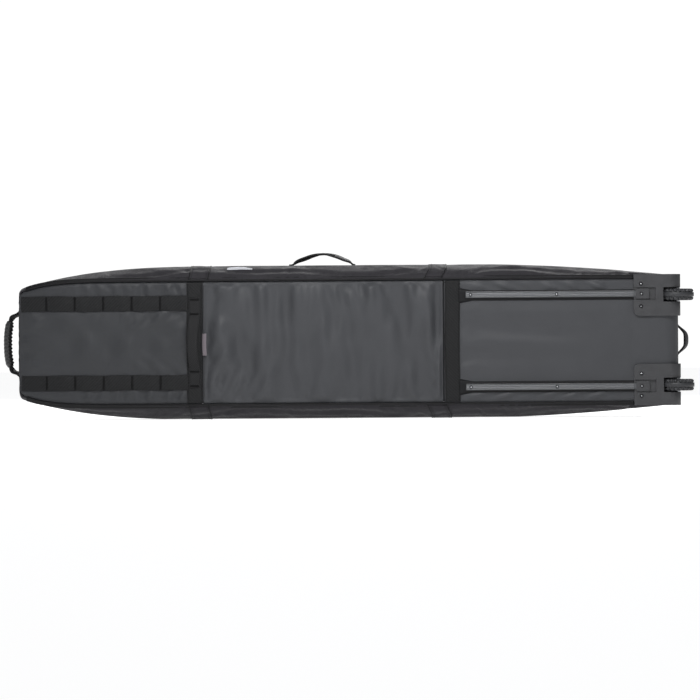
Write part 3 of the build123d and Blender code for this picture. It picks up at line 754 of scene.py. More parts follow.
def edge_pins(points, rows=2):
    """Hold the outermost rows of a panel, where it is sewn."""
    n, m = points.shape[:2]
    pins = np.zeros((n, m))
    pins[:rows] = pins[-rows:] = 1
    pins[:, :rows] = pins[:, -rows:] = 1
    return pins


def nose_relief(x, z):
    """Creases pulled between the piping and the lengthwise webbings, and a fan by the cross webbing."""
    edge = base_edge(x)
    off = np.abs(z - mid_z)
    outer = bell(off, (edge + daisy_offset + webbing / 2) / 2, 0.020)
    near_cross = np.clip((x + 0.72) / 0.15, 0, 1)
    creases = outer * near_cross * 0.0013 * field(x + 0.3 * off, off, 0.034, 0.14)
    middle = bell(off, 0, 0.065) * 0.0012 * field(x, z, 0.110, 0.16)
    corner = bell(off, daisy_offset - webbing, 0.026) * np.clip((x + 0.60) / 0.15, 0, 1)
    fan = corner * 0.0011 * field(x * 0.8 - 0.8 * off, off, 0.040, 0.18)
    tip = bell(x, nose_x + 0.035, 0.03) * 0.0005 * field(z, x, 0.050, 0.08)
    return creases + middle + fan + tip


def middle_relief(x, z):
    """Slow cross waves, puckers at the top edge and creases fanning in from the bottom edge."""
    top = np.clip((z - mid_z) / base_half, 0, 1)
    low = np.clip((mid_z - z) / base_half, 0, 1)
    slow = 0.0028 * field(x + 0.10 * z, z, 0.110, 0.30) + 0.0009 * field(x, z, 0.050, 0.16)
    pucker = bell(x, 0.05, 0.12) * top**2 * 0.0014 * field(x + 0.25 * z, z, 0.034, 0.12)
    fan = bell(x, -0.28, 0.07) * low**1.5 * 0.0016 * field(x - 0.45 * (z - mid_z), z, 0.040, 0.2)
    corner = bell(x, 0.20, 0.05) * low**2 * 0.0018 * field(x + 0.5 * z, z, 0.036, 0.2)
    edges = (top**4 + low**4) * 0.0012 * field(x, z, 0.040, 0.2)
    fold = bell(x - 0.06 * (z - mid_z), wheel_seam_x - 0.018, 0.010) * bell(z, mid_z + 0.03, 0.08) * 0.0042
    seam = bell(x, nose_seam_x + 0.03, 0.025) * 0.0010 * field(z, x, 0.055, 0.09)
    return slow + pucker + fan + corner + edges - fold + seam


def wheel_relief(x, z):
    """Stretched over the stiff board, so nearly flat, with ripples by the seams and rails."""
    off = np.abs(z - mid_z)
    slow = 0.0007 * field(z, x, 0.085, 0.60) * bell(off, 0, 0.085)
    near = bell(x, wheel_cross_x + 0.040, 0.035) * 0.0003 * field(z, x, 0.055, 0.09)
    strip = bell(off, rail_offset + 0.024, 0.012) * 0.0020 * field(x + 1.6 * off, off, 0.075, 0.12)
    return slow + near + strip


def relieve(obj, relief, free):
    """Push a base panel's points in or out along Y by its relief, where the cloth is free."""
    co = coordinates(obj.data)
    co[:, 1] -= relief(co[:, 0], co[:, 2]) * free
    flat = base_y + nose_roll(co[:, 0])
    deep = co[:, 1] - flat
    deepest = np.where(co[:, 0] > wheel_seam_x, deepest_over_board, deepest_dent)
    held = np.where(deep > 0, deepest * np.tanh(deep / deepest), deep)
    on_flat = co[:, 0] < tail_roll_start
    co[:, 1] = np.where(on_flat, flat + held, co[:, 1])
    set_coordinates(obj.data, co)


def make_base_panels(m):
    """Three sewn panels. Returns the pieces, their cloth jobs and how free each point is."""
    jobs, free = [], {}
    specs = (
        ("base_nose_panel", nose_x + 0.0004, nose_seam_x, nose_relief, 3.0, 0.006, 0.0048),
        ("base_middle_panel", nose_seam_x + 0.0005, wheel_seam_x, middle_relief, 3.0, 0.006, 0.0060),
        ("base_wheel_end_panel", wheel_seam_x + 0.0005, tail_roll_start + 0.052, wheel_relief, 0.6, 0.001,
         0.0012),
    )
    for name, x0, x1, relief, pressure, slack, cap in specs:
        points = panel_grid(x0, x1, 0.0035)
        x, z = points[:, :, 0], points[:, :, 2]
        off = np.abs(z - mid_z)
        edge = np.clip(1 - (base_edge(x) - 0.0035 - off) / 0.010, 0, 1)
        points[:, :, 1] += 0.0030 * edge**2
        pins = edge_pins(points)
        if name == "base_nose_panel":
            pins = np.maximum(pins, under(off, daisy_offset, webbing / 2 - 0.003) * 0.9)
            pins = np.maximum(pins, under(x, nose_cross_x, webbing / 2))
        if name == "base_wheel_end_panel":
            pins = np.maximum(pins, under(x, wheel_cross_x, webbing / 2))
            pins = np.maximum(pins, under(off, rail_offset, 0.011) * (x > rail_box[0].x - 0.01))
            pins = np.maximum(pins, np.clip((x - 0.700) / 0.01, 0, 1))
        keep = (lambda p: ~in_well(p)) if name == "base_wheel_end_panel" else None
        mesh = grid_mesh(name + "_cloth", points, outward=to_base, keep=keep)
        replaced = [name] + (["base_foam"] if name == "base_middle_panel" else [])
        # The nose panel gets the darker satin copy: painted shade.
        cloth = m["nose_satin_painted_shade"] if name == "base_nose_panel" else m["satin"]
        obj = finish_mesh(mesh, cloth, "bag", replaced)
        jobs.append((obj, pins.ravel(), pressure, slack, 0.6, cap))
        calm = np.clip((base_edge(x) - 0.0035 - off - 0.004) / 0.012, 0, 1)
        free[obj.name] = (relief, np.clip(1 - pins.ravel() * 1.05, 0, 1) * calm.ravel())
    return jobs, free


def make_shell(m):
    """The gusset ring as one cloth, cut into its four panels after the simulation."""
    grid = shell_grid()
    n, rows = grid.shape[:2]
    obj = finish_mesh(grid_mesh("gusset_cloth", grid, closed=True, outward=from_axis),
                      m["gusset"], "bag")
    pins = np.zeros((n, rows))
    pins[:, :2] = 1
    pins[:, -2:] = 1
    x, y = grid[:, :, 0], grid[:, :, 1]
    pins = np.maximum(pins, np.clip((x - 0.700) / 0.02, 0, 1) * (y < -0.03))
    pins = np.maximum(pins, 0.3 * (x > tail_x - 0.04))
    for patch_x in (nose_cross_x + 0.019, wheel_cross_x - 0.030):
        for edge_x in (patch_x - 0.025, patch_x + 0.025):
            pins = np.maximum(pins, 0.8 * under(x, edge_x, 0.002, 0.003) * (y < -0.02))
    return obj, grid, pins


def shell_creases(grid, pins):
    """Lengthwise creases over the soft sides and slack puckers at the seams."""
    rows = grid.shape[1]
    v = np.linspace(0, 1, rows)[None]
    step = np.linalg.norm(np.diff(grid[:, 10], axis=0, append=grid[:1, 10]), axis=1)
    s = np.concatenate([[0], np.cumsum(step)[:-1]])[:, None]
    long_waves = waves(v * 0.24 + 0.010 * np.sin(s * 9.0) + 0.006 * np.sin(s * 23.0 + 1.0), 0.034, 0.3)
    patchy = 0.5 + 0.5 * np.sin(s * 6.1 + 0.7) * np.sin(s * 14.3 + 2.0)
    seam_puckers = waves(s + 0 * v, 0.021, 0.25) * (bell(v, 0.05, 0.09) + bell(v, 0.95, 0.07))
    slow = waves(s + 0.2 * v, 0.16, 0.4)
    height = 0.0011 * long_waves * patchy + 0.0006 * seam_puckers + 0.0012 * slow * bell(v, 0.5, 0.3)
    du = np.roll(grid, -1, 0) - np.roll(grid, 1, 0)
    dv = np.gradient(grid, axis=1)
    normal = unit(np.cross(du, dv))
    centre = grid.copy()
    centre[:, :, 2] -= mid_z
    centre[:, :, 1] = 0
    normal *= np.sign((normal * centre).sum(-1, keepdims=True) + 1e-9)
    free = np.clip(1 - pins, 0, 1)
    return grid + normal * (height * free)[:, :, None], normal


def keep_shell_inside(grid):
    """The bag rests on its long edge, and the sides stay under the housings."""
    off = grid[:, :, 2] - mid_z
    over = np.abs(off) - full_edge(grid[:, :, 0])
    eased = np.where(over > 0, side_swell * np.tanh(over / side_swell), over)
    grid[:, :, 2] = mid_z + np.sign(off) * (full_edge(grid[:, :, 0]) + eased)
    grid[:, :, 2] = np.maximum(grid[:, :, 2], 0.0012)
    grid[:, :, 0] = np.clip(grid[:, :, 0], nose_x - 0.003, tail_x + 0.002)
    near = (grid[:, :, 0] > housing_box[0].x - 0.01) & (grid[:, :, 1] < -0.078)
    limit = housing_box[1].z - mid_z - 0.0045
    off = grid[:, :, 2] - mid_z
    grid[:, :, 2] = np.where(near, mid_z + np.clip(off, -limit, limit), grid[:, :, 2])
    return grid


def cut_shell(grid, m):
    """The four panels of the gusset, with linings inside."""
    x = grid[:, 20, 0]
    z = grid[:, 20, 2]
    nose_cut = nose_x + 0.030
    tail_cut = tail_x - 0.036
    upper = (x >= nose_cut) & (x <= tail_cut) & (z > mid_z)
    lower = (x >= nose_cut) & (x <= tail_cut) & (z < mid_z)
    zones = (
        ("gusset_upper", upper, "upper_side_panel"),
        ("gusset_lower", lower, "lower_side_panel"),
        ("gusset_nose_end", x < nose_cut, "nose_end_panel"),
        ("gusset_wheel_end", x > tail_cut, "tail_end_panel"),
    )
    n = len(x)
    for name, zone, node in zones:
        index = np.where(zone)[0]
        jump = np.where(np.diff(index) > 1)[0]
        if len(jump):
            index = np.concatenate([index[jump[0] + 1:], index[:jump[0] + 1]])
        index = np.concatenate([index, [(index[-1] + 1) % n]])
        points = grid[index]
        keep = (lambda p: ~in_well(p)) if node == "tail_end_panel" else None
        obj = finish_mesh(grid_mesh(name, points, outward=from_axis, keep=keep),
                          [m["gusset"], m["lining"]], "bag", [node])
        subdivide(obj)
        solidify(obj, gusset_t, inner=True)


def make_base_trim(m):
    """Bound edge, rows of stitching and the dark facing along both long edges of the base."""
    for side, name in ((1, "upper"), (-1, "lower")):
        x = np.arange(nose_x + 0.018, housing_box[0].x + 0.002, 0.004)
        z = mid_z + side * (base_edge(x) - 0.0015)
        y = base_y + nose_roll(x) + 0.0002
        path = np.stack([x, y, z], 1)
        finish_mesh(sweep("base_piping_" + name + "_bound", path, (0, 0, 1), circle(0.0027, 12)),
                    m["piping"], "bag", ["base_piping_" + name])
        facing = path + np.array([0, 0.0026, side * facing_out])
        slope = (0, 0.55, side)
        strip = sweep("base_facing_" + name, facing, slope, flat_profile(0.0095, 0.0018, 0.0004))
        finish_mesh(strip, m["piping"], "bag")
        line = resample(path + np.array([0, 0.0004, -side * stitch_in]), stitch_pitch)
        stitches("base_stitch_" + name, line, tangents(line), (0, -1, 0), stitch_length, thread_r * 1.05,
                 "bag", m["light_thread"])


def on_base(x, z, lift):
    """Points lifted off the base's surface."""
    x, z = np.asarray(x, float), np.asarray(z, float)
    return np.stack([x, base_y + nose_roll(x) - lift + 0 * z, z + 0 * x], -1)


def make_webbings(m):
    """The two lengthwise webbings with their bar tacks, and the two cross webbings."""
    tack_centres = []
    tack_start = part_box("webbing_bar_tacks")[0].x
    start_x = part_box("nose_webbing_upper")[0].x
    cross_lo = nose_cross_x - webbing / 2
    pitch = (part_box("webbing_bar_tacks")[1].x - 0.006 - tack_start) / 4
    tack_xs = [tack_start + 0.003 + pitch * i for i in range(5)]
    for side, name in ((1, "upper"), (-1, "lower")):
        z = mid_z + side * daisy_offset
        x = np.arange(start_x, cross_lo + 0.003, 0.003)
        near = np.min([np.abs(x - t) for t in tack_xs], axis=0)
        loose = np.clip(near / 0.018, 0, 1) ** 1.5
        slack = 0.0016 * loose * (0.75 + 0.25 * np.sin(x * 120 + side)) * (x > tack_xs[0])
        path = on_base(x, np.full_like(x, z), webbing_t / 2 + 0.0004 + slack)
        path[:, 2] += 0.0006 * np.sin(x * 41 + side)
        mesh = sweep("nose_webbing_" + name + "_strap", path, (0, 0, 1), flat_profile(webbing, webbing_t))
        finish_mesh(mesh, m["webbing"], "bag", ["nose_webbing_" + name])
        for t in tack_xs:
            for dz in np.arange(-webbing / 2 + 0.002, webbing / 2 - 0.0015, 0.00085):
                tack_centres.append(on_base(t, z + dz, webbing_t + 0.0004))
    centres = np.array(tack_centres)
    tacks = stitches("webbing_bar_tack_threads", centres, (1, 0, 0), (0, -1, 0), 0.0058, 0.00048,
                     "bag", m["thread"])
    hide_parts("webbing_bar_tacks")
    for cross_x, name in ((nose_cross_x, "nose"), (wheel_cross_x, "wheel")):
        reach = float(base_edge(cross_x)) - 0.006
        z = np.linspace(mid_z - reach, mid_z + reach, 90)
        lift = webbing_t / 2 + 0.0008 + 0.0005 * np.sin(z * 37)
        path = on_base(np.full_like(z, cross_x), z, lift)
        path[:, 0] += 0.0007 * np.sin(z * 25)
        mesh = sweep("cross_webbing_" + name + "_strap", path, (1, 0, 0), flat_profile(webbing, webbing_t))
        finish_mesh(mesh, m["webbing"], "bag", ["cross_webbing_" + name])
        for edge in (-1, 1):
            shift = np.array([edge * (webbing / 2 - 0.003), -webbing_t / 2 - 0.0002, 0])
            line = resample(path + shift, stitch_pitch)
            label = "cross_stitch_" + name + ("_low" if edge < 0 else "_high")
            stitches(label, line, (0, 0, 1), (0, -1, 0),
                     stitch_length, thread_r, "bag", m["thread"])


def make_rail_shadow_strips(m):
    """A dark strip under each rail, wider than the rail: painted shadow beside it, widening into a pocket
    where the rail starts.
    """
    for side, name in ((1, "upper"), (-1, "lower")):
        x = np.arange(wheel_cross_x + webbing / 2 - 0.002, housing_box[0].x + 0.004, 0.004)
        start = np.clip(1 - (x - x[0]) / 0.034, 0, 1)
        low = 0.0145 + 0.0065 * start
        high = 0.0105 + 0.0065 * start + (0.003 if side < 0 else 0)
        grid = np.zeros((len(x), 9, 3))
        share = np.linspace(-1, 1, 9)
        reach = np.where(share[None] < 0, low[:, None], high[:, None])
        grid[:, :, 0] = x[:, None]
        grid[:, :, 2] = mid_z + side * (rail_offset + share[None] * reach)
        swell = (1 - share[None] ** 4) * (0.0010 + 0.0035 * start[:, None])
        grid[:, :, 1] = base_y - 0.0012 - swell
        # Painted shadow: dark cloth laid where the raised rail casts its shadow.
        strip = finish_mesh(grid_mesh("rail_shadow_strip_" + name, grid, outward=to_base),
                            m["piping"], "bag")
        solidify(strip, 0.0020)


def make_carry_loop(m):
    """The loose carry loop over the nose cross webbing, with its ends sewn down."""
    box_lo, box_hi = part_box("base_carry_loop")
    ends_lo, ends_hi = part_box("base_loop_sewn_ends")
    half = (box_hi.z - box_lo.z) / 2
    width = box_hi.x - box_lo.x
    end = (ends_hi.z - ends_lo.z) / 2
    ground = base_y - webbing_t - 0.0016
    rise = base_y - box_lo.y - webbing_t
    z = [-end, -half - 0.012, -half, -half * 0.62, 0, half * 0.62, half, half + 0.012, end]
    lift = [0, 0, 0.002, rise * 0.72, rise * 0.86, rise * 0.72, 0.002, 0, 0]
    bow = [0, 0, 0, -0.003, -0.005, -0.003, 0, 0, 0]
    points = [(nose_cross_x + b, ground - l, mid_z + a) for a, l, b in zip(z, lift, bow)]
    path = spline(points, 90)
    strap = finish_mesh(sweep("base_carry_loop_strap", path, (1, 0, 0), flat_profile(width, 0.0022)),
                        m["strap"], None, ["base_carry_loop", "base_loop_sewn_ends"])
    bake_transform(strap)
    across = np.arange(-width / 2 + 0.002, width / 2 - 0.001, 0.0009)
    rows = tack_rows((half + 0.010, end - 0.004), across,
                     lambda along, dx: (nose_cross_x + dx, ground - 0.0016, mid_z + along))
    stitches("carry_loop_tack_threads", rows, (0, 0, 1), (0, -1, 0), tack_length, tack_r, "bag",
             m["thread"])


def make_seams_and_tag(m):
    """The two cross seams of the base, and the folded blank tag caught in one of them."""
    for x0, name in ((nose_seam_x, "nose"), (wheel_seam_x, "wheel")):
        reach = float(base_edge(x0)) - 0.006
        z = np.linspace(mid_z - reach, mid_z + reach, 80)
        path = on_base(np.full_like(z, x0 + 0.0002), z, 0.0004)
        finish_mesh(sweep("base_seam_" + name, path, (1, 0, 0), circle(0.0016, 10)),
                    m["piping"], "bag")
    ends = np.array([mid_z - 0.142, mid_z + 0.142])
    line = resample(on_base(np.full(2, nose_seam_x + 0.0042), ends, 0.0022), stitch_pitch)
    stitches("seam_stitch_nose", line, (0, 0, 1), (0, -1, 0), stitch_length, thread_r, "bag", m["thread"])
    lo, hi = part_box("seam_tag")
    z = np.linspace(lo.z, hi.z, 24)
    fold = [(lo.x - 0.0005, 0.0030), (lo.x + 0.004, 0.0050), (hi.x - 0.001, 0.0056), (hi.x, 0.0048),
            (hi.x - 0.001, 0.0040), (lo.x + 0.004, 0.0034), (lo.x - 0.0005, 0.0020)]
    section = spline([(a, -b) for a, b in fold], 28)
    grid = np.zeros((len(section), len(z), 3))
    grid[:, :, 0] = section[:, :1] + 0.0004 * np.sin(z * 90)[None]
    grid[:, :, 1] = base_y + section[:, 1:] - 0.0005 * np.sin(z * 60)[None]
    grid[:, :, 2] = z[None]
    tag = finish_mesh(grid_mesh("blank_seam_tag", grid, outward=to_base),
                      m["tag"], "bag", ["seam_tag"])
    solidify(tag, 0.0005)


def make_patches(grid, normal, m):
    """Side webbings that wrap from the base edge over the gusset, with a stitched line at each edge."""
    x = grid[:, 20, 0]
    z = grid[:, 20, 2]
    made, ridges = [], []
    threads, along, outward = [], [], []
    for side in (1, -1):
        for patch_x in (nose_cross_x + 0.015, wheel_cross_x - 0.034 + (0.006 if side < 0 else 0)):
            index = np.where((np.abs(x - patch_x) < 0.0255) & (np.sign(z - mid_z) == side))[0]
            rows = slice(1, 24)
            for edge in (index[0], index[-1]):
                line = grid[edge, :30] + normal[edge, :30] * 0.0004
                ridges.append(line)
            points = grid[index, rows] + normal[index, rows] * 0.0013
            made.append(points)
            for edge in (index[1], index[-2]):
                line = grid[edge, rows] + normal[edge, rows] * 0.0017
                at = resample(line, stitch_pitch)
                threads.append(at)
                along.append(tangents(at))
                outward.append(unit(np.stack([0 * at[:, 0], at[:, 1] * 0, at[:, 2] - mid_z], 1)))
    for k, points in enumerate(made):
        obj = finish_mesh(grid_mesh("side_patch_" + str(k), points, outward=from_axis),
                          m["gusset"], "bag", ["side_patches"] if k == 0 else [])
        subdivide(obj)
        solidify(obj, 0.0010)
    for k, line in enumerate(ridges):
        finish_mesh(sweep("side_patch_seam_" + str(k), resample(line, 0.004), (1, 0, 0), circle(0.0017, 8)),
                    m["piping"], "bag")
    stitches("side_patch_stitches", np.vstack(threads), np.vstack(along), np.vstack(outward),
             stitch_length, thread_r, "bag", m["thread"])


def make_pale_strip(grid, normal, m):
    """A pale strip laid flat on the upper side, tapered at one end."""
    x = grid[:, 20, 0]
    z = grid[:, 20, 2]
    index = np.where((x > -0.312) & (x < -0.240) & (z > mid_z))[0]
    index = index[np.argsort(x[index])]
    rows = np.arange(8, 12)
    points = grid[np.ix_(index, rows)] + normal[np.ix_(index, rows)] * 0.0008
    share = np.linspace(0, 1, len(index))
    taper = np.clip((share - 0.55) / 0.45, 0, 1)[:, None, None]
    points = points * (1 - 0.55 * taper) + points[:, :1] * 0.55 * taper
    obj = finish_mesh(grid_mesh("pale_side_strip", points, outward=from_axis), m["pale"], "bag")
    subdivide(obj)
    solidify(obj, 0.0006)


# ---- handles ----
def make_side_handle(m):
    """The carry handle on the upper long side: one strap, folded double in the hand."""
    strap_lo, strap_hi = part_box("side_handle_strap")
    feet_lo, feet_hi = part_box("side_handle_feet")
    x0 = (strap_lo.x + strap_hi.x) / 2
    half = (strap_hi.x - strap_lo.x) / 2
    foot = (feet_hi.x - feet_lo.x) / 2
    ground = 2 * mid_z + 0.0022
    rise = strap_hi.z - ground + 0.0006
    shape = [(-foot - 0.004, 0.0), (-half - 0.009, 0.03), (-half + 0.003, 0.33), (-half + 0.022, 0.58),
             (-half * 0.30, 0.88), (half * 0.08, 1.0), (half * 0.50, 0.80),
             (half - 0.012, 0.50), (half + 0.002, 0.30), (half + 0.011, 0.03), (foot + 0.003, 0.0)]
    points = [(x0 + dx, 0.0, ground + share * rise) for dx, share in shape]
    path = spline(points, 110)
    share = np.linspace(-1, 1, len(path))
    turn = 0.30 * np.sin(share * math.pi) * (np.abs(share) < 0.85)
    side = np.stack([np.zeros_like(turn), np.cos(turn), np.sin(turn)], 1)
    section = flat_profile(narrow_webbing, 0.0042, 0.0004)
    strap = finish_mesh(sweep("side_handle_webbing", path, side, section),
                        m["strap"], None, ["side_handle_strap", "side_handle_feet"])
    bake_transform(strap)
    wrap = resample(path[np.abs(share) < 0.36], 0.003)
    finish_mesh(sweep("side_handle_fold", wrap, (0, 1, 0), flat_profile(0.0150, 0.0052, 0.0006)),
                m["strap"], "side_handle")
    rows = tack_rows((half + 0.009, foot - 0.004), tack_across,
                     lambda along, dy: (x0 + along, dy, ground + 0.0018))
    stitches("side_handle_tacks", rows, (1, 0, 0), (0, 0, 1), tack_length, tack_r, "bag", m["thread"])


def both_ways(points):
    """Points (x, z) from the middle of an end strap to one foot, made into the whole strap's path."""
    mirrored = [(x, -z) for x, z in points[:0:-1]]
    return [(x, 0, mid_z + z) for x, z in mirrored + points]


def make_nose_handle(m):
    """The grab handle on the nose: a strap through a moulded, ribbed grip."""
    strap_lo, strap_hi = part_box("nose_handle_strap")
    feet_lo, feet_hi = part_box("nose_handle_feet")
    grip_lo, grip_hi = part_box("nose_handle_grip")
    half = (strap_hi.z - strap_lo.z) / 2
    foot = (feet_hi.z - feet_lo.z) / 2
    grip_half = (grip_hi.z - grip_lo.z) / 2
    ground = nose_x - 0.0016
    grip_x = (grip_lo.x + grip_hi.x) / 2 + 0.0035
    points = [(grip_x - 0.004, 0), (grip_x - 0.002, grip_half * 0.6), (grip_x + 0.006, grip_half + 0.006),
              (ground - 0.006, half - 0.005), (ground, half + 0.003), (ground, foot)]
    path = spline(both_ways(points), 110)
    share = np.abs(path[:, 2] - mid_z) / half
    turn = strap_twist * bell(share, 0.88, 0.14)
    side = np.stack([np.sin(turn), np.cos(turn), 0 * turn], 1)
    section = flat_profile(narrow_webbing, 0.0062, 0.0006)
    strap = finish_mesh(sweep("nose_handle_webbing", path, side, section),
                        m["strap"], None, ["nose_handle_strap", "nose_handle_feet"])
    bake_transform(strap)
    inner = path[np.abs(path[:, 2] - mid_z) < grip_half]
    core = resample(inner, 0.0012)
    s = np.concatenate([[0], np.cumsum(np.linalg.norm(np.diff(core, axis=0), axis=1))])
    rib = 0.5 + 0.5 * np.cos(s * 2 * math.pi / 0.0095)
    ends = np.clip(np.minimum(s, s[-1] - s) / 0.010, 0, 1) ** 0.5
    around = np.linspace(0, 2 * math.pi, 24, endpoint=False)
    t = tangents(core)
    out = np.cross(t, np.array([0, 1.0, 0]))
    out *= np.sign((out * np.array([-1.0, 0, 0])).sum(1, keepdims=True) + 1e-9)
    thick = 0.5 * (grip_hi.x - grip_lo.x) + 0.0006
    wide = 0.5 * (grip_hi.y - grip_lo.y)
    inward = np.clip(-np.cos(around), 0, 1)[None]
    groove = 1 - rib[:, None]
    scale = (0.55 + 0.45 * ends)[:, None] * (1 - 0.16 * inward * groove - 0.05 * groove)
    grid = (core[:, None] + (np.cos(around)[None] * scale * thick)[:, :, None] * out[:, None]
            + (np.sin(around)[None] * scale * wide)[:, :, None] * np.array([0, 1.0, 0]))
    grid = grid.transpose(1, 0, 2)
    middle = np.array([grip_x, 0, mid_z])
    mesh = grid_mesh("nose_handle_ribbed_grip", grid, closed=True, outward=lambda p: p - middle)
    grip = finish_mesh(mesh, m["grip"], "nose_handle", ["nose_handle_grip"])
    close_holes(grip)
    rows = tack_rows((half + 0.007, foot - 0.004), tack_across,
                     lambda along, dy: (ground - 0.0022, dy, mid_z + along))
    stitches("nose_handle_tacks", rows, (0, 0, 1), (-1, 0, 0), tack_length, tack_r, "bag", m["thread"])


def close_holes(obj):
    """Cap the open ends of a tube."""
    work = bmesh.new()
    work.from_mesh(obj.data)
    bmesh.ops.holes_fill(work, edges=[e for e in work.edges if e.is_boundary], sides=0)
    bmesh.ops.recalc_face_normals(work, faces=work.faces)
    work.to_mesh(obj.data)
    work.free()


def make_tail_loop(m):
    """The plain webbing loop on the wheel end."""
    lo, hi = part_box("tail_loop")
    feet_lo, feet_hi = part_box("tail_loop_feet")
    half = (hi.z - lo.z) / 2
    foot = (feet_hi.z - feet_lo.z) / 2
    ground = tail_x + 0.0014
    peak = hi.x - 0.0014
    points = [(peak, 0), (peak - 0.003, half * 0.45), (ground + 0.004, half - 0.004),
              (ground, half + 0.003), (ground, foot)]
    path = spline(both_ways(points), 80)
    share = np.clip(np.abs(path[:, 2] - mid_z) / half, 0, 1)
    turn = loop_twist * (1 - share**2)
    side = np.stack([np.sin(turn), np.cos(turn), 0 * turn], 1)
    section = flat_profile(narrow_webbing, 0.0046, 0.0004)
    strap = finish_mesh(sweep("tail_loop_webbing", path, side, section),
                        m["strap"], None, ["tail_loop", "tail_loop_feet"])
    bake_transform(strap)
    rows = tack_rows((half + 0.010,), tack_across, lambda along, dy: (ground + 0.0014, dy, mid_z + along))
    stitches("tail_loop_tacks", rows, (0, 0, 1), (1, 0, 0), tack_length, tack_r, "bag", m["thread"])


# ---- lid ----
lid_inset = 0.038
lid_round = 0.080
tape_w = 0.012
chain_gap = 0.0003
tooth_length = 0.0026
tooth_r = 0.00062
tape_thread_r = 0.00035


def lid_loop(grow, counts=(280, 14, 46)):
    """The lid's edge, grown all round: hinge line, wheel end, lower side, nose end. Closed."""
    n_side, n_corner, n_end = counts
    x0, x1 = lid_box[0].x - 0.004 - grow, lid_box[1].x + 0.005 + grow
    radius = lid_round + grow - 0.02

    def low(x):
        return full_edge(x) - back_inset - lid_inset + grow

    hinge = hinge_z - mid_z + 0.0004
    xs = np.linspace(x0 + radius, x1 - radius, n_side)
    top = np.stack([np.linspace(x0, x1, n_side), np.full(n_side, hinge)], 1)
    turn = np.linspace(0, -90, n_corner + 2)[1:-1] * math.pi / 180
    low_tail = -float(low(x1 - radius)) + radius
    tail = np.stack([np.full(n_end, x1), np.linspace(hinge, low_tail, n_end)], 1)
    tail_arc = np.stack([x1 - radius + radius * np.cos(turn), low_tail + radius * np.sin(turn)], 1)
    bottom = np.stack([xs[::-1], -low(xs[::-1])], 1)
    low_nose = -float(low(x0 + radius)) + radius
    back = turn[::-1]
    nose_arc = np.stack([x0 + radius - radius * np.cos(back), low_nose + radius * np.sin(back)], 1)
    nose = np.stack([np.full(n_end, x0), np.linspace(low_nose, hinge, n_end)], 1)
    loop = np.vstack([top, tail[1:], tail_arc, bottom, nose_arc, nose[:-1]])
    return loop


def at_depth(loop, y):
    """A plan loop placed at depth y."""
    return np.stack([loop[:, 0], np.broadcast_to(y, len(loop)), mid_z + loop[:, 1]], 1)


def loft(loops, name, outward, closed=True, keep=None):
    """One cloth through several loops."""
    grid = np.stack(loops, 1)
    return grid_mesh(name, grid, closed=closed, outward=outward, keep=keep)


def match(outer, inner):
    """Resample the inner loop so that its points face the outer loop's points."""
    return nearest(outer, resample(inner, 0.0015, closed=True))


def make_border(grid, m):
    """The flat fabric frame between the gusset and the zip."""
    outer = grid[:, -1]
    inner = at_depth(lid_loop(2 * tape_w - 0.002), back_y - 0.0008)
    inner = match(outer, inner)
    loops = []
    for share in np.linspace(0, 1, 9):
        loop = outer * (1 - share) + inner * share
        loop[:, 1] += 0.0016 * math.sin(math.pi * share)
        loops.append(loop)
    obj = finish_mesh(loft(loops, "lid_side_border_cloth", to_lid),
                      [m["gusset"], m["lining"]], "bag", ["lid_side_border"])
    subdivide(obj)
    solidify(obj, border_t, inner=True)
    seam = outer + np.array([0, 0.0008, 0])
    seam = resample(seam, 0.005, closed=True)
    finish_mesh(sweep("lid_side_piping_bound", seam, (0, 1, 0), circle(0.0026, 10), closed=True),
                m["piping"], "bag", ["lid_side_piping"])


def below_hinge(loop, spare=0.0012):
    """The open run of a lid loop that the zip follows, from the wheel end round to the nose end."""
    keep = loop[:, 1] < hinge_z - mid_z - spare
    return loop[keep]


def make_zip(m):
    """Two cloth tapes with their rows of teeth, one on the bag and one on the lid."""
    loops = {g: below_hinge(lid_loop(g)) for g in (0.0, tape_w - chain_gap, tape_w + chain_gap, 2 * tape_w)}
    count = min(len(a) for a in loops.values())
    runs = {g: resample_to(a, count) for g, a in loops.items()}
    y = back_y - 0.0004
    spec = (
        ("zip_tape_fixed_cloth", 2 * tape_w, tape_w + chain_gap, "bag", "zip_tape_fixed"),
        ("zip_tape_lid_cloth", 0.0, tape_w - chain_gap, "lid", "zip_tape_lid"),
    )
    for name, away, chain, body, node in spec:
        loops = [at_depth(runs[away] * (1 - t) + runs[chain] * t, y) for t in np.linspace(0, 1, 4)]
        tape = finish_mesh(loft(loops, name, to_lid, closed=False), m["tape"], body, [node])
        solidify(tape, tape_cloth_t)
        line = at_depth(runs[chain], y)
        out = at_depth(runs[away], y) - line
        teeth = resample(line, 0.0017)
        direction = unit(nearest(teeth, line, out))
        centres = teeth + direction * 0.0011 + np.array([0, 0.0004, 0])
        stitches(name.replace("cloth", "teeth"), centres, direction, (0, 1, 0), tooth_length, tooth_r,
                 body, m["teeth"])
        edge = teeth + direction * 0.0052 + np.array([0, 0.0001, 0])
        stitches(name.replace("cloth", "stitch"), edge[::2], tangents(edge[::2]), (0, 1, 0),
                 tooth_length, tape_thread_r, body, m["thread"])


def resample_to(loop, count):
    """A plan loop as a set number of even steps."""
    s = np.concatenate([[0], np.cumsum(np.linalg.norm(np.diff(loop, axis=0), axis=1))])
    at = np.linspace(0, s[-1], count)
    return np.stack([np.interp(at, s, loop[:, 0]), np.interp(at, s, loop[:, 1])], 1)


def nearest(points, line, values=None):
    """For each point, the line's own nearest point, or the value that goes with it."""
    picked = np.array([int(np.argmin(((line - p) ** 2).sum(1))) for p in points])
    return (line if values is None else values)[picked]


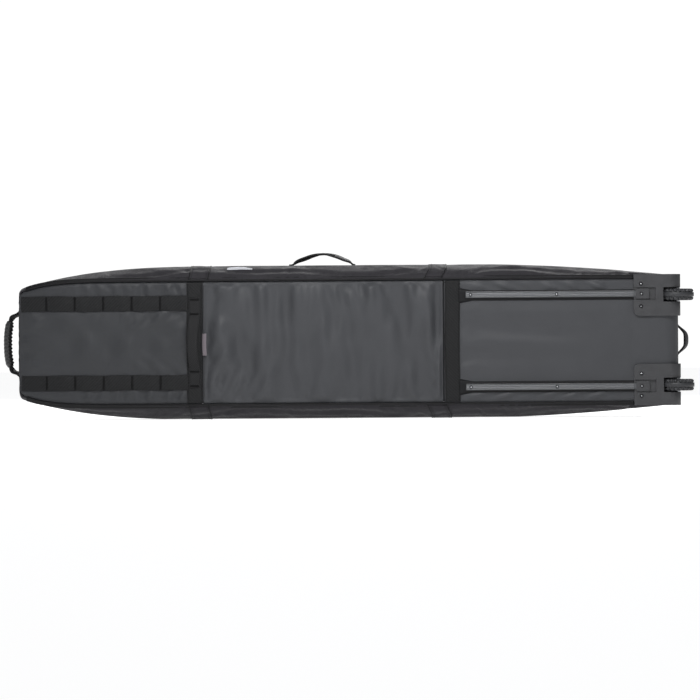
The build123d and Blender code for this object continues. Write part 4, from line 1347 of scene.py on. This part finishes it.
def make_lid(m):
    """The padded lid: a crowned outer cloth closed by a flat lining."""
    edge = lid_loop(-0.0005)
    rim_y = back_y + 0.0012
    crown = lid_box[1].y - rim_y - 0.004
    loops = []
    rings = 34
    spine = np.stack([np.clip(edge[:, 0], lid_box[0].x + 0.15, lid_box[1].x - 0.15), 0 * edge[:, 1]], 1)
    for k in range(rings + 1):
        share = k / rings
        loop = edge * (1 - share) + spine * share
        rise = np.clip((share - 0.10) / 0.42, 0, 1)
        rise = rise * rise * (3 - 2 * rise)
        loops.append(at_depth(loop, rim_y + crown * rise))
    grid = np.stack(loops, 1)
    obj = finish_mesh(grid_mesh("lid_padded_cloth", grid, closed=True, outward=to_lid),
                      m["satin"], "lid", ["lid_panel", "lid_foam"])
    pins = np.zeros(grid.shape[:2])
    pins[:, :4] = 1
    pins[:, -1:] = 0.3
    return obj, grid, pins


def finish_lid(obj, grid, pins, m):
    """Relief on the lid's cloth, then its lining, its bound rim and the row of stitches round it."""
    co = coordinates(obj.data)
    x, z = co[:, 0], co[:, 2]
    free = np.clip(1 - pins.ravel(), 0, 1)
    relief = 0.0016 * waves(x + 0.2 * z, 0.075, 0.3) + 0.0011 * waves(z - 0.1 * x, 0.09, 0.3)
    co[:, 1] += relief * free
    co[:, 1] = np.clip(co[:, 1], back_y + 0.0008, cad_box[1][1] + 0.004)
    set_coordinates(obj.data, co)
    subdivide(obj)
    lining_y = back_y - 0.0010
    edge = lid_loop(-0.0012)
    spine = np.stack([np.clip(edge[:, 0], lid_box[0].x + 0.15, lid_box[1].x - 0.15), 0 * edge[:, 1]], 1)
    loops = []
    for share in np.linspace(0, 1, 22):
        loop = at_depth(edge * (1 - share) + spine * share, lining_y)
        loop[:, 1] -= 0.0012 * math.sin(math.pi * min(1.0, share * 1.2))
        loops.append(loop)
    lining = finish_mesh(loft(loops, "lid_lining_cloth", to_base), m["lining"], "lid")
    solidify(lining, 0.0008)
    rim = at_depth(edge, back_y + 0.0004)
    rim = resample(rim, 0.005, closed=True)
    finish_mesh(sweep("lid_bound_rim", rim, (0, 1, 0), circle(0.0017, 10), closed=True),
                m["piping"], "lid")
    channel = grid[:, 3] + np.array([0, 0.0012, 0])
    line = resample(channel, stitch_pitch, closed=True)
    stitches("lid_rim_stitches", line, tangents(line, True), (0, 1, 0), stitch_length, thread_r, "lid",
             m["thread"])


# ---- wheels ----
def make_tyre(name, m):
    """A treaded tyre: a round crown, with blocks along both shoulders."""
    lo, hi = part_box("wheel_" + name + "_tyre")
    hub_lo, hub_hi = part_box("wheel_" + name + "_hub")
    inner = (hub_hi.x - hub_lo.x) / 2
    half = (hi.z - lo.z) / 2
    centre = np.array([(lo.x + hi.x) / 2, (lo.y + hi.y) / 2, (lo.z + hi.z) / 2])
    wall = [(inner, 0.002), (inner + 0.002, 0), (inner + 0.007, 0)]
    crown = [(0.0065, 0), (0.0025, 0.0016), (0.0012, 0.0045), (0.0010, 0.0065), (0.0030, 0.0072),
             (0.0030, 0.0088), (0, 0.0095), (0, half)]
    profile = [(r, up - half) for r, up in wall] + [(wheel_r - drop, up - half) for drop, up in crown]
    mirrored = [(r, -z) for r, z in profile[-2::-1]]
    profile = np.array(profile + mirrored + [(inner, 0)])
    turns = 180
    blocks = 20
    angle = np.arange(turns) * 2 * math.pi / turns
    wave = np.sin(angle * blocks)
    raised = np.clip(wave * 3.0, -1, 1) * 0.5 + 0.5
    r = np.broadcast_to(profile[:, 0], (turns, len(profile))).copy()
    z = np.broadcast_to(profile[:, 1], (turns, len(profile))).copy()
    shoulder = (np.abs(profile[:, 1]) > half - 0.0068) & (profile[:, 0] > wheel_r - 0.008)
    r -= np.where(shoulder[None], (1 - raised)[:, None] * 0.0034, 0)
    z -= np.where(shoulder[None], np.sign(z) * (1 - raised)[:, None] * 0.0024, 0)
    along, up = r * np.cos(angle)[:, None], r * np.sin(angle)[:, None]
    grid = np.stack([centre[0] + along, centre[1] + up, centre[2] + z], -1)
    grid = np.concatenate([grid, grid[:, :1]], 1)
    mesh = grid_mesh("wheel_" + name + "_treaded_tyre", grid, closed=True)
    work = bmesh.new()
    work.from_mesh(mesh)
    bmesh.ops.remove_doubles(work, verts=work.verts, dist=1e-6)
    bmesh.ops.recalc_face_normals(work, faces=work.faces)
    work.to_mesh(mesh)
    work.free()
    return finish_mesh(mesh, m["tyre"], "wheel_" + name, ["wheel_" + name + "_tyre"])


def soften(node, width, material, segments=2):
    """Give a rigid CAD node its finish and small rounded edges."""
    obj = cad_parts[node]
    obj.data.materials.clear()
    obj.data.materials.append(material)
    weld = obj.modifiers.new("weld", "WELD")
    weld.merge_threshold = 0.00001
    if width:
        made = obj.modifiers.new("bevel", "BEVEL")
        made.width = width
        made.segments = segments
        made.limit_method = "ANGLE"
        made.angle_limit = math.radians(35)
        made.harden_normals = False
    return obj


def dress_cad_nodes(m):
    """Finish the rigid pieces that come from the CAD as they are."""
    plan = {
        "housing": ["wheel_housing_upper", "wheel_housing_lower", "rail_clamp_plates"],
        "rail": ["skid_rail_upper", "skid_rail_lower"],
        "hub": ["wheel_upper_hub", "wheel_lower_hub"],
        "steel": ["wheel_upper_bearings", "wheel_lower_bearings", "wheel_upper_axle",
                  "wheel_lower_axle", "wheel_axle_nuts", "wheel_side_washers", "wheel_upper_spacer",
                  "wheel_lower_spacer"],
        "dark_metal": ["rail_rivets", "housing_screws", "zip_slider_a", "zip_slider_b", "zip_pull_a",
                       "zip_pull_b"],
        "board": ["base_board", "housing_backing_plates"],
        "buckle": ["inner_buckles"],
    }
    widths = {"housing": 0.0008, "rail": 0.0006, "hub": 0.0005, "steel": 0.0003, "dark_metal": 0.0004,
              "board": 0.0, "buckle": 0.0006}
    for kind, nodes in plan.items():
        for node in nodes:
            soften(node, widths[kind], m[kind])


def make_inside(m):
    """Lining over the base, and the two straps that hold the board."""
    points = panel_grid(nose_x + 0.012, tail_roll_start + 0.004, 0.008)
    lo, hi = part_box("base_lining")
    points[:, :, 1] = hi.y + nose_roll(points[:, :, 0])
    x, z = points[:, :, 0], points[:, :, 2]
    points[:, :, 1] += 0.0008 * waves(x, 0.07, 0.3) * waves(z, 0.09, 0.3)
    lining = finish_mesh(grid_mesh("base_lining_cloth", points, outward=to_lid, keep=lambda p: ~in_well(p)),
                         m["lining"], "bag", ["base_lining"])
    solidify(lining, 0.0010)
    lo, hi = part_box("inner_straps")
    for k, x0 in enumerate((lo.x + webbing / 2, hi.x - webbing / 2)):
        z = np.linspace(lo.z, hi.z, 70)
        y = lo.y + 0.0012 + 0.0012 * np.abs(np.sin(z * 40))
        path = np.stack([np.full_like(z, x0), y, z], 1)
        finish_mesh(sweep("inner_strap_" + str(k), path, (1, 0, 0), flat_profile(webbing, 0.0016)),
                    m["webbing"], "bag", ["inner_straps"] if k == 0 else [])


def spots(node, reach=0.015):
    """Where each fastener of a node sits on the base side."""
    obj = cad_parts[node]
    co = coordinates(obj.data)
    world = np.array(obj.matrix_world)
    co = co @ world[:3, :3].T + world[:3, 3]
    found = []
    while len(co):
        near = np.linalg.norm(co[:, [0, 2]] - co[0, [0, 2]], axis=1) < reach
        group = co[near]
        found.append((*((group.min(0) + group.max(0)) / 2)[[0, 2]], group[:, 1].min()))
        co = co[~near]
    return found


def make_fastener_eyes(m):
    """The bright domed middle of every rivet and screw."""
    for node, radius in (("rail_rivets", 0.0019), ("housing_screws", 0.0016)):
        for k, (x, z, y) in enumerate(spots(node)):
            turn = np.linspace(0, 2 * math.pi, 17)[:-1]
            section = [(radius * 1.05, 0.0006), (radius, -0.0003), (radius * 0.7, -0.0008),
                       (radius * 0.3, -0.0010), (0.00002, -0.00105)]
            grid = np.array([[(x + r * math.cos(a), y + d, z + r * math.sin(a)) for r, d in section]
                             for a in turn])
            finish_mesh(grid_mesh(node + "_eye_" + str(k), grid, closed=True, outward=to_base),
                        m["steel"], "bag")


# ---- studio ----
def make_studio():
    """A white backdrop for the camera, dimmer all-round light, and soft boxes that give direction."""
    world = bpy.data.worlds.new("studio")
    bpy.context.scene.world = world
    world.use_nodes = True
    tree = world.node_tree
    light = tree.nodes["Background"]
    light.inputs[0].default_value = (0.97, 0.98, 1.0, 1)
    light.inputs[1].default_value = world_fill
    backdrop = tree.nodes.new("ShaderNodeBackground")
    backdrop.inputs[0].default_value = (1, 1, 1, 1)
    backdrop.inputs[1].default_value = 1.05
    path = tree.nodes.new("ShaderNodeLightPath")
    mix = tree.nodes.new("ShaderNodeMixShader")
    tree.links.new(path.outputs["Is Camera Ray"], mix.inputs[0])
    tree.links.new(light.outputs[0], mix.inputs[1])
    tree.links.new(backdrop.outputs[0], mix.inputs[2])
    tree.links.new(mix.outputs[0], tree.nodes["World Output"].inputs[0])
    bpy.ops.mesh.primitive_plane_add(size=60, location=(0, 0, -0.0005))
    floor = bpy.context.object
    floor.name = "studio_floor"
    shade = Shader("pale_floor", (0.80, 0.80, 0.80), 0.8, 0.1)
    shade.bsdf.inputs["Emission Color"].default_value = (1, 1, 1, 1)
    lit = shade.node("ShaderNodeLightPath").outputs["Is Camera Ray"]
    glow = shade.math("ADD", shade.math("MULTIPLY", lit, floor_glow - floor_fill), floor_fill)
    shade.link(glow, shade.bsdf.inputs["Emission Strength"])
    floor.data.materials.append(shade.mat)
    key_light("key", (0.02, -1.7, 1.9), (0.05, -0.1, 0.2), 1.3, 0.6, key_power)
    key_light("right_strip", (3.8, -2.2, 0.9), (0.2, -0.1, 0.2), 0.8, 2.4, right_power)
    key_light("left_strip", (-3.6, -1.8, 0.8), (-0.2, -0.1, 0.2), 0.6, 2.0, left_power)
    key_light("back_fill", (0.4, 3.4, 2.8), (0.0, 0.1, 0.2), 3.0, 1.5, back_power)


def key_light(name, place, target, width, height, power):
    """One soft box, turned towards its target."""
    data = bpy.data.lights.new(name, "AREA")
    data.shape = "RECTANGLE"
    data.size = width
    data.size_y = height
    data.energy = power
    obj = bpy.data.objects.new(name, data)
    bpy.context.scene.collection.objects.link(obj)
    obj.location = place
    obj.rotation_euler = (Vector(target) - Vector(place)).to_track_quat("-Z", "Y").to_euler()


def main():
    """The studio, the simulated cloth, then every other piece in turn."""
    make_camera()
    make_studio()
    bpy.context.scene.view_settings.view_transform = "Standard"
    m = make_materials()
    panel_jobs, free = make_base_panels(m)
    shell, grid, pins = make_shell(m)
    lid, lid_grid, lid_pins = make_lid(m)
    jobs = panel_jobs + [
        (shell, pins.ravel(), 0.8, 0.005, 1.5, 0.0035),
        (lid, lid_pins.ravel(), 2.5, 0.008, 1.0, 0.006),
    ]
    run_cloth(jobs)
    for job in panel_jobs:
        relief, share = free[job[0].name]
        relieve(job[0], relief, share * relief_gain)
        subdivide(job[0])
        solidify(job[0], panel_cloth_t)
    grid = coordinates(shell.data).reshape(grid.shape)
    bpy.data.objects.remove(shell)
    grid, normal = shell_creases(grid, pins)
    grid = keep_shell_inside(grid)
    cut_shell(grid, m)
    make_patches(grid, normal, m)
    make_pale_strip(grid, normal, m)
    make_border(grid, m)
    finish_lid(lid, lid_grid, lid_pins, m)
    make_zip(m)
    make_base_trim(m)
    make_webbings(m)
    make_rail_shadow_strips(m)
    make_carry_loop(m)
    make_seams_and_tag(m)
    make_side_handle(m)
    make_nose_handle(m)
    make_tail_loop(m)
    for name in ("upper", "lower"):
        make_tyre(name, m)
    make_inside(m)
    dress_cad_nodes(m)
    make_fastener_eyes(m)


main()
